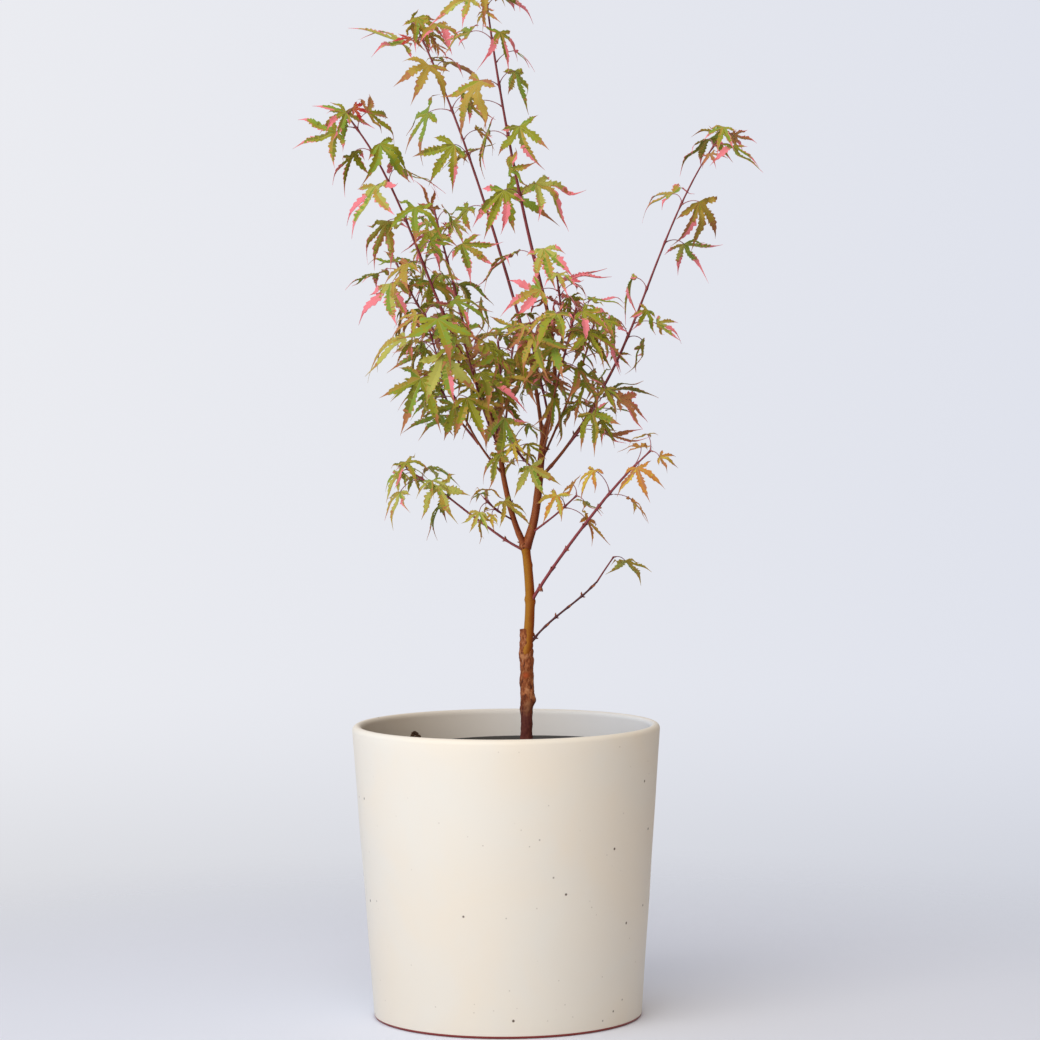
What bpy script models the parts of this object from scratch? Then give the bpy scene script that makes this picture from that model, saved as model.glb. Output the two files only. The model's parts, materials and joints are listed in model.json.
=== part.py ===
"""A young potted Japanese maple: a grafted stem with airy shoots, in a tall stoneware planter.

Metres, +Z up. The origin is the centre of the planter's flat underside.
+X is to the right and -Y is towards the viewer of the reference view.
"""

import math
import random
import typing

import bmesh
import bpy
from mathutils import Matrix, Vector
from mathutils.bvhtree import BVHTree

MM = 0.001

# Planter: a turned stoneware wall that widens evenly from its foot to its rim.
PLANTER_HEIGHT = 238 * MM
PLANTER_FOOT_RADIUS = 109 * MM
PLANTER_RIM_RADIUS = 125 * MM
PLANTER_WALL = 8 * MM
PLANTER_FLOOR = 10 * MM
PLANTER_FOOT_ROUND = 2 * MM
PLANTER_SIDES = 40

# Nursery pot: the black plastic pot that the tree grows in, set inside the planter and right of its centre.
LINER_CENTRE_X = 16 * MM
LINER_TOP = 221 * MM
LINER_TOP_RADIUS = 95 * MM
LINER_BASE_RADIUS = 79 * MM
LINER_WALL = 1.5 * MM
LINER_LIP = 2.5 * MM
LINER_LIP_DEPTH = 4 * MM
LINER_SIDES = 36
SOIL_TOP = 214 * MM

# What touches keeps this gap.
SEAT_GAP = 0.3 * MM

# Trunk: a stout rootstock cut off flat at the graft, and the slimmer scion that rises from it to the fork.
ROOTSTOCK_RADIUS = 5.3 * MM
FLARE_EXTRA = 2.6 * MM
FLARE_HEIGHT = 7 * MM
ROOTSTOCK_TOP = 315 * MM
SCION_START = 288 * MM
SCION_RADIUS = 3.5 * MM
FORK_HEIGHT = 384 * MM
FORK_X = 16.4 * MM
FORK_RADIUS = 4.2 * MM

# Distance between the points of a centre line.
TRUNK_STEP = 9 * MM
LIMB_STEP = 14 * MM
STEM_STEP = 30 * MM


class Limb(typing.NamedTuple):
    """A limb: what it grows on and the height there, its end, how it leaves and arrives, and its radii.

    Places and radii are in millimetres. A direction is its lean to the right and its swing to the back, in degrees.
    """

    name: str
    on: str
    at: float
    end: tuple
    out: tuple
    onto: tuple
    thick: float
    thin: float


class Mass(typing.NamedTuple):
    """A foliage mass: its stem, given like a limb, and what the growth rule puts on it.

    Without a height and a direction the stem carries on from its limb's tip. The pairs of leaves start at a share of
    the stem, the first pair turned by an angle in degrees. The blade and stalk lengths are in millimetres. The crown
    is the young leaves at the tip. Twigs and lost are the chances that a leaf's place holds a twig or nothing.
    """

    name: str
    on: str
    tip: tuple
    onto: tuple
    thick: float
    thin: float
    pairs: int
    first: float
    turn: float
    blade: float
    stalk: float
    seed: int
    crown: int = 2
    twigs: float = 0.0
    lost: float = 0.0
    at: float = 0.0
    out: tuple = ()


LIMBS = (
    Limb("leader_right", "trunk", 381, (34, 6, 478), (24, 4), (13, 2), 3.1, 2.4),
    Limb("leader_left", "trunk", 381, (-6, -10, 477), (-27, -6), (-8, -6), 2.3, 1.8),
    Limb("bough_tall_centre", "leader_right", 478, (31, -8, 592), (20, -8), (-15, -6), 1.7, 1.4),
    Limb("bough_tall_left", "leader_right", 466, (15, 26, 560), (-6, 38), (-17, 12), 1.6, 1.3),
    Limb("bough_far_left", "leader_left", 477, (-41, -24, 555), (-19, -12), (-23, -9), 1.5, 1.2),
    Limb("bough_inner_left", "leader_left", 464, (-29, 18, 548), (-28, 40), (-13, 16), 1.3, 1.1),
    Limb("bough_low_left", "leader_left", 441, (-31, -38, 487), (-44, -34), (-26, -30), 1.4, 1.2),
    Limb("bough_right", "leader_right", 437, (78, 28, 504), (46, 16), (30, 16), 1.9, 1.5),
    Limb("bough_front", "leader_right", 456, (44, -34, 520), (18, -48), (14, -30), 1.2, 1.0),
    Limb("bough_back", "leader_left", 452, (4, 36, 512), (8, 50), (4, 34), 1.2, 1.0),
    Limb("bough_back_right", "leader_right", 449, (56, 42, 508), (24, 48), (22, 32), 1.2, 1.0),
    Limb("bough_lower_right", "trunk", 336, (80, -48, 422), (30, -22), (37, -30), 1.6, 1.3),
    Limb("bough_lowest_right", "trunk", 301, (75, 27, 351), (34, 14), (44, 18), 1.2, 1.0),
    Limb("bough_lowest_left", "trunk", 378, (-30, 21, 409), (-66, 18), (-56, 24), 1.1, 0.9),
)

MASSES = (
    Mass("leaves_tall_centre", "bough_tall_centre", (-13, -26, 833), (-7, -3), 1.4, 0.7, 6, 0.1, 40, 43, 20, 411),
    Mass("leaves_tall_left", "bough_tall_left", (-71, 66, 810), (-25, 9), 1.3, 0.7, 5, 0.38, 60, 44, 19, 312),
    Mass("leaves_far_left", "bough_far_left", (-122, -48, 728), (-38, -6), 1.2, 0.7, 6, 0.1, 45, 43, 17, 513),
    Mass("leaves_inner_left", "bough_inner_left", (-56, 43, 656), (-14, 10), 1.1, 0.7, 5, 0.2, 60, 37, 18, 14,
         twigs=0.15),
    Mass("leaves_low_left", "bough_low_left", (-61, -76, 570), (-12, -14), 1.2, 0.7, 5, 0.2, 20, 43, 22, 15),
    Mass("leaves_right", "bough_right", (182, 70, 719), (37, 4), 1.5, 0.7, 7, 0.03, 40, 43, 21, 416, lost=0.3),
    Mass("leaves_front", "bough_front", (58, -72, 574), (10, -18), 1.0, 0.7, 4, 0.2, 45, 38, 19, 117),
    Mass("leaves_back", "bough_back", (8, 90, 552), (2, 26), 1.0, 0.7, 4, 0.06, 15, 38, 19, 18, lost=0.2),
    Mass("leaves_back_right", "bough_back_right", (76, 84, 566), (12, 20), 1.0, 0.7, 4, 0.06, 70, 38, 19, 119,
         lost=0.35),
    Mass("leaves_lower_right", "bough_lower_right", (116, -70, 461), (46, -20), 1.3, 0.8, 2, 0.1, 80, 27, 26, 220),
    Mass("leaves_lowest_right", "bough_lowest_right", (89, 33, 371), (50, 20), 1.0, 0.7, 0, 0.9, 0, 50, 24, 21,
         crown=1),
    Mass("leaves_lowest_left", "bough_lowest_left", (-80, 42, 444), (-62, 10), 0.9, 0.6, 2, 0.35, 0, 38, 17, 522,
         crown=3),
    Mass("leaves_upright", "leader_left", (-4, -50, 548), (-4, -14), 1.0, 0.7, 5, 0.25, 0, 38, 18, 23,
         lost=0.15, at=470, out=(10, -40)),
    Mass("leaves_inner_front", "leader_right", (2, -30, 472), (-30, -20), 0.9, 0.7, 2, 0.4, 30, 31, 16, 24,
         at=440, out=(-45, -35)),
    Mass("leaves_pink", "bough_tall_centre", (43, -40, 602), (-4, -20), 1.0, 0.7, 5, 0.3, 60, 38, 15, 225,
         lost=0.1, at=530, out=(28, -36)),
    Mass("leaves_centre", "bough_tall_centre", (22, -66, 562), (0, -22), 1.0, 0.7, 5, 0.25, 20, 38, 18, 128,
         lost=0.15, at=486, out=(-8, -42)),
    Mass("leaves_mid_left", "bough_far_left", (-86, 2, 612), (-24, 10), 1.0, 0.7, 5, 0.3, 50, 42, 18, 829,
         lost=0.15, at=520, out=(-46, 30)),
    Mass("leaves_mid_low", "bough_low_left", (-56, -22, 522), (-30, 12), 1.0, 0.7, 2, 0.45, 30, 38, 18, 32,
         at=466, out=(-50, 20)),
    Mass("leaves_mid_front", "leader_left", (-30, -84, 546), (-16, -24), 1.0, 0.7, 4, 0.35, 10, 40, 18, 30,
         lost=0.1, at=462, out=(-24, -46)),
    Mass("leaves_mid_right", "bough_right", (80, -28, 512), (24, -24), 1.0, 0.7, 3, 0.35, 65, 36, 18, 531,
         at=464, out=(46, -40)),
    Mass("leaves_fork_right", "leader_right", (58, -26, 424), (44, -16), 0.9, 0.7, 1, 0.7, 80, 31, 16, 426,
         at=392, out=(52, -30)),
    Mass("leaves_fork_left", "leader_left", (-16, -20, 422), (-40, -20), 0.8, 0.7, 2, 0.5, 80, 27, 14, 227,
         crown=0, at=403, out=(-60, -35)),
)

# Leaf: each lobe's angle from the midrib, in degrees, and its length for a middle lobe of 1.
LOBES = ((-112, 0.46), (-53, 0.88), (0, 1.0), (53, 0.88), (112, 0.46))
LOBE_WANDER = 7
LOBE_SPREAD = (0.62, 1.0)
SINUS = 0.22
LEAF_BACK = 0.06
LEAF_CROWN = 0.06
LEAF_HALF_THICKNESS = 0.6 * MM
STALK_RADIUS = 0.55 * MM
STALK_TIP_RADIUS = 0.2 * MM
STALK_STEPS = 2
PAIR_SHIFT = 0.8 * MM

# Growth rule: the leaves of a pair stand opposite each other, and each pair is turned from the one below it.
PAIR_TURN = 90
NODE_CLOSING = 1.45
YOUNG_FROM = 0.55
YOUNG_SHRINK = 0.2
CROWN_BLADE = 0.7
CROWN_STALK = 0.5
TRIES = 10
LEAF_CLEARANCE = 1.5 * MM
SPACE_REACH = 76 * MM
TWIG_LENGTH = 24 * MM
TWIG_RADIUS = 0.65 * MM
TWIG_BLADE = 0.85
TWIG_FAN = (-60, 60, 180)
TURN_WANDER = 14
TRY_TURN = 9

# Stance of a leaf: what its upper side and its midrib turn to, on an old leaf and how much more on a young one.
LIGHT = Vector((-0.25, -0.85, 0.46))
LEVEL_RISE = 0.15
FACE_LIGHT = 0.5
FACE_OUT = 0.6
FACE_UP = (0.15, 0.6)
FACE_WANDER = 0.4
HANG_OUT = (0.4, 0.65)
HANG_DOWN = (0.95, -0.8)
HANG_WANDER = 0.22
STALK_ARCH = 0.42
STALK_END = (0.35, 0.92)

# Least and most of what the dice give a leaf.
BLADE_RANGE = (0.84, 1.14)
STALK_RANGE = (0.75, 1.3)
LOBE_RANGE = (0.86, 1.1)
LEAF_DROOP = (0.02, 0.2)
LOBE_DROOP = (-0.06, 0.1)
TWIG_RANGE = (0.8, 1.2)

# Colours, linear.
GLAZE = (0.80, 0.75, 0.66, 1)
BLACK_PLASTIC = (0.02, 0.02, 0.022, 1)
SOIL = (0.035, 0.022, 0.014, 1)
BARK = (0.26, 0.075, 0.03, 1)
YOUNG_BARK = (0.13, 0.02, 0.03, 1)
LEAF_GREEN = (0.16, 0.22, 0.03, 1)
LEAF_ORANGE = (0.60, 0.27, 0.04, 1)


def clear_scene():
    for obj in list(bpy.data.objects):
        bpy.data.objects.remove(obj, do_unlink=True)


def new_collection(name):
    collection = bpy.data.collections.new(name)
    bpy.context.scene.collection.children.link(collection)
    return collection


def material(name, colour, roughness):
    made = bpy.data.materials.new(name)
    made.use_nodes = True
    shader = made.node_tree.nodes["Principled BSDF"]
    shader.inputs["Base Color"].default_value = colour
    shader.inputs["Roughness"].default_value = roughness
    shader.inputs["Metallic"].default_value = 0.0
    made.diffuse_color = colour
    return made


def new_object(name, mesh, collection, coat=None):
    obj = bpy.data.objects.new(name, mesh)
    collection.objects.link(obj)
    if coat:
        mesh.materials.append(coat)
    return obj


def heading(lean, swing):
    """The direction that leans so many degrees to the right and swings so many to the back."""
    return Vector((math.sin(math.radians(lean)), math.sin(math.radians(swing)),
                   math.cos(math.radians(lean)))).normalized()


def smooth_curve(start, end, leaves, arrives, step):
    """Points of the smooth curve that leaves start and arrives at end in the given directions."""
    reach = (end - start).length
    count = max(2, round(reach / step))
    points = []
    for k in range(count + 1):
        t = k / count
        points.append(start * (2 * t**3 - 3 * t**2 + 1) + leaves * reach * (t**3 - 2 * t**2 + t)
                      + end * (3 * t**2 - 2 * t**3) + arrives * reach * (t**3 - t**2))
    return points


def at_height(path, radii, height):
    """Place, direction and radius where a rising limb passes a height."""
    k = next(k for k in range(len(path) - 1) if path[k + 1].z >= height)
    low, high = path[k], path[k + 1]
    share = (height - low.z) / (high.z - low.z)
    return low.lerp(high, share), (high - low).normalized(), radii[k] + (radii[k + 1] - radii[k]) * share


def along(path, share):
    """Place and direction at a share of a path."""
    place = share * (len(path) - 1)
    k = min(int(place), len(path) - 2)
    return path[k].lerp(path[k + 1], place - k), (path[k + 1] - path[k]).normalized()


def tapered(count, thick, thin):
    return [thick + (thin - thick) * k / (count - 1) for k in range(count)]


def grown(path, radii, extra):
    """The same rod, thicker and longer by the given amount, to cut its neighbours clear."""
    first = path[0] - (path[1] - path[0]).normalized() * extra
    last = path[-1] + (path[-1] - path[-2]).normalized() * extra
    return [first, *path[1:-1], last], [radius + extra for radius in radii]


def rod_mesh(name, path, radii, resolution):
    """A closed tapering rod: a curve with a round bevel and filled caps, made a mesh."""
    curve = bpy.data.curves.new(name, "CURVE")
    curve.dimensions = "3D"
    curve.bevel_depth = 1.0
    curve.bevel_resolution = resolution
    curve.use_fill_caps = True
    spline = curve.splines.new("POLY")
    spline.points.add(len(path) - 1)
    for point, place, radius in zip(spline.points, path, radii):
        point.co = (*place, 1)
        point.radius = radius
    holder = bpy.data.objects.new(name, curve)
    bpy.context.scene.collection.objects.link(holder)
    graph = bpy.context.evaluated_depsgraph_get()
    mesh = bpy.data.meshes.new_from_object(holder.evaluated_get(graph))
    bpy.data.objects.remove(holder, do_unlink=True)
    bpy.data.curves.remove(curve)
    bm = bmesh.new()
    bm.from_mesh(mesh)
    bmesh.ops.remove_doubles(bm, verts=bm.verts, dist=1e-6)
    bmesh.ops.recalc_face_normals(bm, faces=bm.faces)
    bm.to_mesh(mesh)
    bm.free()
    return mesh


def fuse(obj, parts):
    """Joins the collection's objects to the object in one union, applies it and removes them."""
    union = obj.modifiers.new("fused", "BOOLEAN")
    union.operation = "UNION"
    union.operand_type = "COLLECTION"
    union.collection = parts
    union.solver = "MANIFOLD"
    graph = bpy.context.evaluated_depsgraph_get()
    fused = bpy.data.meshes.new_from_object(obj.evaluated_get(graph))
    obj.modifiers.clear()
    obj.data = fused
    for part in list(parts.objects):
        bpy.data.objects.remove(part, do_unlink=True)
    bpy.data.collections.remove(parts)


def lathe(name, profile, sides, collection, coat, centre_x=0.0):
    """A turned piece: its profile runs down the outside and up the inside, on a Screw."""
    mesh = bpy.data.meshes.new(name)
    bm = bmesh.new()
    corners = []
    for radius, height in profile:
        if corners and (radius, height) == profile[0]:
            corners.append(corners[0])
        else:
            corners.append(bm.verts.new((radius, 0, height)))
    for low, high in zip(corners, corners[1:]):
        bm.edges.new((low, high))
    bm.to_mesh(mesh)
    bm.free()
    obj = new_object(name, mesh, collection, coat)
    obj.location.x = centre_x
    screw = obj.modifiers.new("turned", "SCREW")
    screw.steps = sides
    screw.render_steps = sides
    screw.use_merge_vertices = True
    screw.merge_threshold = 1e-5
    screw.use_smooth_shade = True
    return obj


def arc(centre_radius, centre_height, size, start, end, steps):
    """Profile points on a round edge, by angle in degrees from the outward direction."""
    points = []
    for k in range(steps + 1):
        angle = math.radians(start + (end - start) * k / steps)
        points.append((centre_radius + size * math.cos(angle), centre_height + size * math.sin(angle)))
    return points


def make_planter(collection):
    lip = PLANTER_WALL / 2
    rim = arc(PLANTER_RIM_RADIUS - lip, PLANTER_HEIGHT - lip, lip, 180, 0, 4)
    foot = arc(PLANTER_FOOT_RADIUS - PLANTER_FOOT_ROUND, PLANTER_FOOT_ROUND, PLANTER_FOOT_ROUND, 0, -90, 2)
    cove = 4 * MM
    inside_foot = PLANTER_FOOT_RADIUS - PLANTER_WALL
    profile = [*rim[2:], *foot, (0, 0), (0, PLANTER_FLOOR), (inside_foot - cove, PLANTER_FLOOR),
               (inside_foot, PLANTER_FLOOR + cove), *rim[:3]]
    return lathe("planter", profile, PLANTER_SIDES, collection, material("cream stoneware glaze", GLAZE, 0.6))


def make_liner(collection):
    floor = PLANTER_FLOOR + SEAT_GAP
    inner_top = LINER_TOP_RADIUS - LINER_WALL
    lip_radius = LINER_TOP_RADIUS + LINER_LIP
    lip_low = LINER_TOP - LINER_LIP_DEPTH
    profile = [(inner_top, LINER_TOP), (lip_radius, LINER_TOP), (lip_radius, lip_low), (LINER_TOP_RADIUS, lip_low),
               (LINER_BASE_RADIUS, floor), (0, floor), (0, floor + LINER_WALL),
               (LINER_BASE_RADIUS - LINER_WALL, floor + LINER_WALL), (inner_top, LINER_TOP)]
    coat = material("black moulded polypropylene", BLACK_PLASTIC, 0.55)
    return lathe("nursery_pot", profile, LINER_SIDES, collection, coat, LINER_CENTRE_X)


def make_soil(collection):
    low = PLANTER_FLOOR + LINER_WALL + 2 * SEAT_GAP
    slope = (LINER_TOP_RADIUS - LINER_BASE_RADIUS) / (LINER_TOP - PLANTER_FLOOR)
    low_radius = LINER_BASE_RADIUS - LINER_WALL - 2 * SEAT_GAP
    top_radius = low_radius + slope * (SOIL_TOP - low)
    profile = [(0, SOIL_TOP), (top_radius, SOIL_TOP), (low_radius, low), (0, low)]
    return lathe("soil", profile, LINER_SIDES, collection, material("potting soil", SOIL, 0.95), LINER_CENTRE_X)


def rootstock():
    """Centre line and radii of the rootstock, from its flare at the soil to the cut of the graft."""
    foot = Vector((LINER_CENTRE_X, 0, SOIL_TOP + SEAT_GAP))
    top = Vector((FORK_X - 0.6 * MM, 0, ROOTSTOCK_TOP))
    path = smooth_curve(foot, top, heading(2, 0), heading(-4, 0), TRUNK_STEP)
    radii = [ROOTSTOCK_RADIUS + FLARE_EXTRA * math.exp(-(point.z - foot.z) / FLARE_HEIGHT) for point in path]
    radii[-1] *= 0.86
    return path, radii


def scion():
    """Centre line and radii of the scion, from inside the graft to the fork."""
    low = Vector((FORK_X + 0.8 * MM, 0, SCION_START))
    path = smooth_curve(low, Vector((FORK_X, 0, FORK_HEIGHT)), heading(9, 0), heading(-8, 0), TRUNK_STEP)
    radii = tapered(len(path), SCION_RADIUS * 1.25, SCION_RADIUS * 0.97)
    radii[-1] = FORK_RADIUS
    return path, radii


def make_trunk(collection):
    parts = new_collection("trunk parts")
    new_object("scion", rod_mesh("scion", *scion(), 2), parts)
    obj = new_object("trunk", rod_mesh("trunk", *rootstock(), 2), collection, material("trunk bark", BARK, 0.7))
    fuse(obj, parts)


def limb_rods():
    """The centre line and radii of the scion and of each limb, by name."""
    rods = {"trunk": scion()}
    for limb in LIMBS:
        start = at_height(*rods[limb.on], limb.at * MM)[0]
        path = smooth_curve(start, Vector(limb.end) * MM, heading(*limb.out), heading(*limb.onto), LIMB_STEP)
        rods[limb.name] = path, tapered(len(path), limb.thick * MM, limb.thin * MM)
    return rods


def make_limbs(rods, collection, cutters):
    """Each limb as a rod, cut clear of what it grows from."""
    grown_from = {limb.on for limb in LIMBS} | {"leader_right"}
    cutter_of = {}
    for name in sorted(grown_from):
        cutter = new_object("clear_of_" + name, rod_mesh(name, *grown(*rods[name], SEAT_GAP), 2), cutters)
        cutter.hide_render = True
        cutter.display_type = "WIRE"
        cutter_of[name] = cutter
    for limb in LIMBS:
        colour = BARK if limb.on == "trunk" else YOUNG_BARK
        coat = material("bark of " + limb.name, colour, 0.6)
        roundness = 2 if limb.name in grown_from else 1
        obj = new_object(limb.name, rod_mesh(limb.name, *rods[limb.name], roundness), collection, coat)
        beside = ["leader_right"] if limb.name == "leader_left" else []
        for neighbour in [limb.on, *beside]:
            cut = obj.modifiers.new("clear of " + neighbour, "BOOLEAN")
            cut.operation = "DIFFERENCE"
            cut.object = cutter_of[neighbour]
            cut.solver = "EXACT"


def stem_rod(mass, rods):
    """Centre line and radii of a mass's stem, just clear of the limb that it grows on."""
    path, radii = rods[mass.on]
    if mass.at:
        centre, limb_way, radius = at_height(path, radii, mass.at * MM)
        way = heading(*mass.out)
        spread = way.angle(limb_way)
        stand_off = radius + SEAT_GAP + mass.thick * MM * math.cos(spread)
        start = centre + way * stand_off / math.sin(spread)
    else:
        way = (path[-1] - path[-2]).normalized()
        start = path[-1] + way * SEAT_GAP
    stem = smooth_curve(start, Vector(mass.tip) * MM, way, heading(*mass.onto), STEM_STEP)
    return stem, tapered(len(stem), mass.thick * MM, mass.thin * MM)


def leaf_outline(lobes, length):
    """Outline of a blade, its stalk at the origin, its midrib along +Y and its upper side to +Z."""
    points = []
    for k, (angle, share, droop) in enumerate(lobes):
        corners = [(angle, share)]
        if k:
            corners.insert(0, ((angle + lobes[k - 1][0]) / 2, SINUS))
        for turn, reach in corners:
            points.append((turn, reach, droop))
    points.append((180, LEAF_BACK, 0))
    return [Vector((math.sin(math.radians(turn)) * reach, math.cos(math.radians(turn)) * reach,
                    -droop * reach**2)) * length for turn, reach, droop in points]


def arch(foot, way, out, length):
    """The path of a leaf stalk: up along the stem at first, then outwards."""
    middle = foot + (way + out) * STALK_ARCH * length
    end = foot + (way * STALK_END[0] + out * STALK_END[1]) * length
    return [foot * (1 - t)**2 + middle * 2 * t * (1 - t) + end * t**2
            for t in (k / STALK_STEPS for k in range(STALK_STEPS + 1))]


def wander(dice, size):
    return Vector((dice.gauss(0, size), dice.gauss(0, size), dice.gauss(0, size)))


def sideways(way, turn):
    """The direction square to a stem, turned round it by an angle in degrees from the right."""
    right = Vector((1, 0, 0)) - way * way.x
    return Matrix.Rotation(math.radians(turn), 3, way) @ right.normalized()


def new_leaf(dice, foot, way, turn, length, stalk, youth):
    """One leaf: its stalk's path, its blade's frame and outline. A young leaf stands up, an old one hangs."""
    out = sideways(way, turn)
    path = arch(foot, way, out, stalk)
    level = Vector((out.x, out.y, LEVEL_RISE)).normalized()
    up = FACE_UP[0] + FACE_UP[1] * youth
    face = LIGHT * FACE_LIGHT + level * FACE_OUT + Vector((0, 0, up)) + wander(dice, FACE_WANDER)
    down = HANG_DOWN[0] + HANG_DOWN[1] * youth
    fall = level * (HANG_OUT[0] + HANG_OUT[1] * youth) - Vector((0, 0, down)) + wander(dice, HANG_WANDER)
    midrib = (fall - face * fall.dot(face) / face.length_squared).normalized()
    side = midrib.cross(face).normalized()
    frame = Matrix((side, midrib, side.cross(midrib))).transposed().to_4x4()
    frame.translation = path[-1]
    droop = dice.uniform(*LEAF_DROOP)
    spread = dice.uniform(*LOBE_SPREAD)
    lobes = [(angle * spread + dice.uniform(-LOBE_WANDER, LOBE_WANDER), share * dice.uniform(*LOBE_RANGE),
              droop + dice.uniform(*LOBE_DROOP)) for angle, share in LOBES]
    return {"path": path, "frame": frame, "length": length, "lobes": lobes, "youth": youth,
            "rim": [frame @ point for point in leaf_outline(lobes, length)],
            "crown": frame @ Vector((0, LEAF_CROWN * length, 0))}


def search_tree(leaf):
    """The blade and the outer part of its stalk as a search tree, and places spread over them."""
    path, rim = leaf["path"], leaf["rim"]
    flat = Vector((0, 0, STALK_RADIUS))
    stalk = [path[0].lerp(path[1], 0.6), *path[1:]]
    points = [leaf["crown"], *rim]
    faces = [(0, k, k % len(rim) + 1) for k in range(1, len(rim) + 1)]
    for low, high in zip(stalk, stalk[1:]):
        first = len(points)
        points += [low - flat, low + flat, high + flat, high - flat]
        faces.append((first, first + 1, first + 2, first + 3))
    places = points + [(leaf["crown"] + corner) / 2 for corner in rim]
    return BVHTree.FromPolygons(points, faces), places


def rod_tree(path, radii):
    """A limb as a search tree, four-sided."""
    points = []
    faces = []
    for k, (place, radius) in enumerate(zip(path, radii)):
        way = (path[min(k + 1, len(path) - 1)] - path[max(k - 1, 0)]).normalized()
        points += [place + sideways(way, quarter * 90) * radius for quarter in range(4)]
        if k:
            low = 4 * (k - 1)
            faces += [(low + q, low + (q + 1) % 4, low + 4 + (q + 1) % 4, low + 4 + q) for q in range(4)]
    return BVHTree.FromPolygons(points, faces)


def has_room(tree, places, standing, stem):
    """Whether a shape stays in its mass's space and clear of all that stands already."""
    if any(place.z < PLANTER_HEIGHT for place in places):
        return False
    if any(min((place - point).length for point in stem) > SPACE_REACH for place in places):
        return False
    for other, centre, reach in standing:
        if (centre - places[0]).length > reach + SPACE_REACH:
            continue
        if tree.overlap(other) or any(other.find_nearest(place, LEAF_CLEARANCE)[0] for place in places):
            return False
    return True


def try_leaf(dice, leaves, standing, stem, foot, way, turn, length, stalk, youth):
    """Adds a leaf, turned a little further at each try, or skips it where none has room."""
    length *= dice.uniform(*BLADE_RANGE)
    stalk *= dice.uniform(*STALK_RANGE)
    for attempt in range(TRIES):
        azimuth = turn + dice.uniform(-TURN_WANDER, TURN_WANDER) + dice.uniform(-TRY_TURN, TRY_TURN) * attempt
        leaf = new_leaf(dice, foot, way, azimuth, length, stalk, youth)
        tree, places = search_tree(leaf)
        if has_room(tree, places, standing, stem):
            leaves.append(leaf)
            standing.append((tree, leaf["crown"], length))
            return


def try_twig(dice, twigs, standing, stem, foot, way, turn):
    """Adds a short side twig if it has room, and says whether it did."""
    out = sideways(way, turn)
    end = foot + (way + out).normalized() * TWIG_LENGTH * dice.uniform(*TWIG_RANGE)
    leaves, arrives = (way + out * 3).normalized(), (way * 2 + out).normalized()
    path = smooth_curve(foot, end, leaves, arrives, TWIG_LENGTH / 2)
    tree = rod_tree([path[0].lerp(path[1], 0.4), *path[1:]], [TWIG_RADIUS] * len(path))
    if not has_room(tree, path[1:], standing, stem):
        return False
    twigs.append(path)
    standing.append((tree, end, TWIG_LENGTH))
    return True


def grow(mass, stem, standing):
    """The growth rule: the side twigs and the leaves of one mass."""
    dice = random.Random(mass.seed)
    twigs = []
    leaves = []
    blade = mass.blade * MM
    stalk = mass.stalk * MM
    for k in range(mass.pairs):
        share = mass.first + (1 - mass.first) * (1 - (1 - k / mass.pairs)**NODE_CLOSING)
        youth = max(0.0, share - YOUNG_FROM) / (1 - YOUNG_FROM)
        foot, way = along(stem, share)
        size = 1 - YOUNG_SHRINK * youth**2
        for side in (1, -1):
            turn = mass.turn + PAIR_TURN * k + 90 * side
            root = foot + way * PAIR_SHIFT * side
            if dice.random() < mass.lost:
                continue
            if dice.random() < mass.twigs and try_twig(dice, twigs, standing, stem, root, way, turn):
                tip, twig_way = twigs[-1][-1], (twigs[-1][-1] - twigs[-1][-2]).normalized()
                for fan in TWIG_FAN:
                    length = blade * size * TWIG_BLADE
                    try_leaf(dice, leaves, standing, stem, tip, twig_way, turn + fan, length, stalk, youth)
            else:
                try_leaf(dice, leaves, standing, stem, root, way, turn, blade * size, stalk, youth)
    tip, way = along(stem, 1)
    for k in range(mass.crown):
        turn = mass.turn + 45 + 360 * k / mass.crown
        try_leaf(dice, leaves, standing, stem, tip, way, turn, blade * CROWN_BLADE, stalk * CROWN_STALK, 1.0)
    return twigs, leaves


def blade_mesh(leaves):
    """Thin lens-shaped blades: each outline filled and poked at its crown on both sides, closed at its sharp edge."""
    bm = bmesh.new()
    for leaf in leaves:
        rims = []
        for side in (1, -1):
            rim = [bm.verts.new(corner) for corner in leaf["rim"]]
            face = bm.faces.new(rim[::side])
            poked = bmesh.ops.poke(bm, faces=[face])["verts"][0]
            thick = leaf["frame"].to_3x3() @ Vector((0, 0, side * LEAF_HALF_THICKNESS))
            poked.co = leaf["crown"] + thick
            rims.append(rim)
        bmesh.ops.weld_verts(bm, targetmap=dict(zip(rims[1], rims[0])))
    bmesh.ops.recalc_face_normals(bm, faces=bm.faces)
    mesh = bpy.data.meshes.new("blades")
    bm.to_mesh(mesh)
    bm.free()
    return mesh


def stalk_mesh(path, thick, thin):
    """A three-sided stalk or twig: rings of three points, bridged and capped."""
    bm = bmesh.new()
    rings = []
    for k, (place, radius) in enumerate(zip(path, tapered(len(path), thick, thin))):
        way = (path[min(k + 1, len(path) - 1)] - path[max(k - 1, 0)]).normalized()
        turn = way.to_track_quat("Z", "Y").to_matrix().to_4x4()
        before = set(bm.edges)
        bmesh.ops.create_circle(bm, segments=3, radius=radius, matrix=Matrix.Translation(place) @ turn,
                                cap_ends=k in (0, len(path) - 1))
        rings.append([edge for edge in bm.edges if edge not in before])
    for low, high in zip(rings, rings[1:]):
        bmesh.ops.bridge_loops(bm, edges=low + high)
    bmesh.ops.recalc_face_normals(bm, faces=bm.faces)
    mesh = bpy.data.meshes.new("stalk")
    bm.to_mesh(mesh)
    bm.free()
    return mesh


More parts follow.
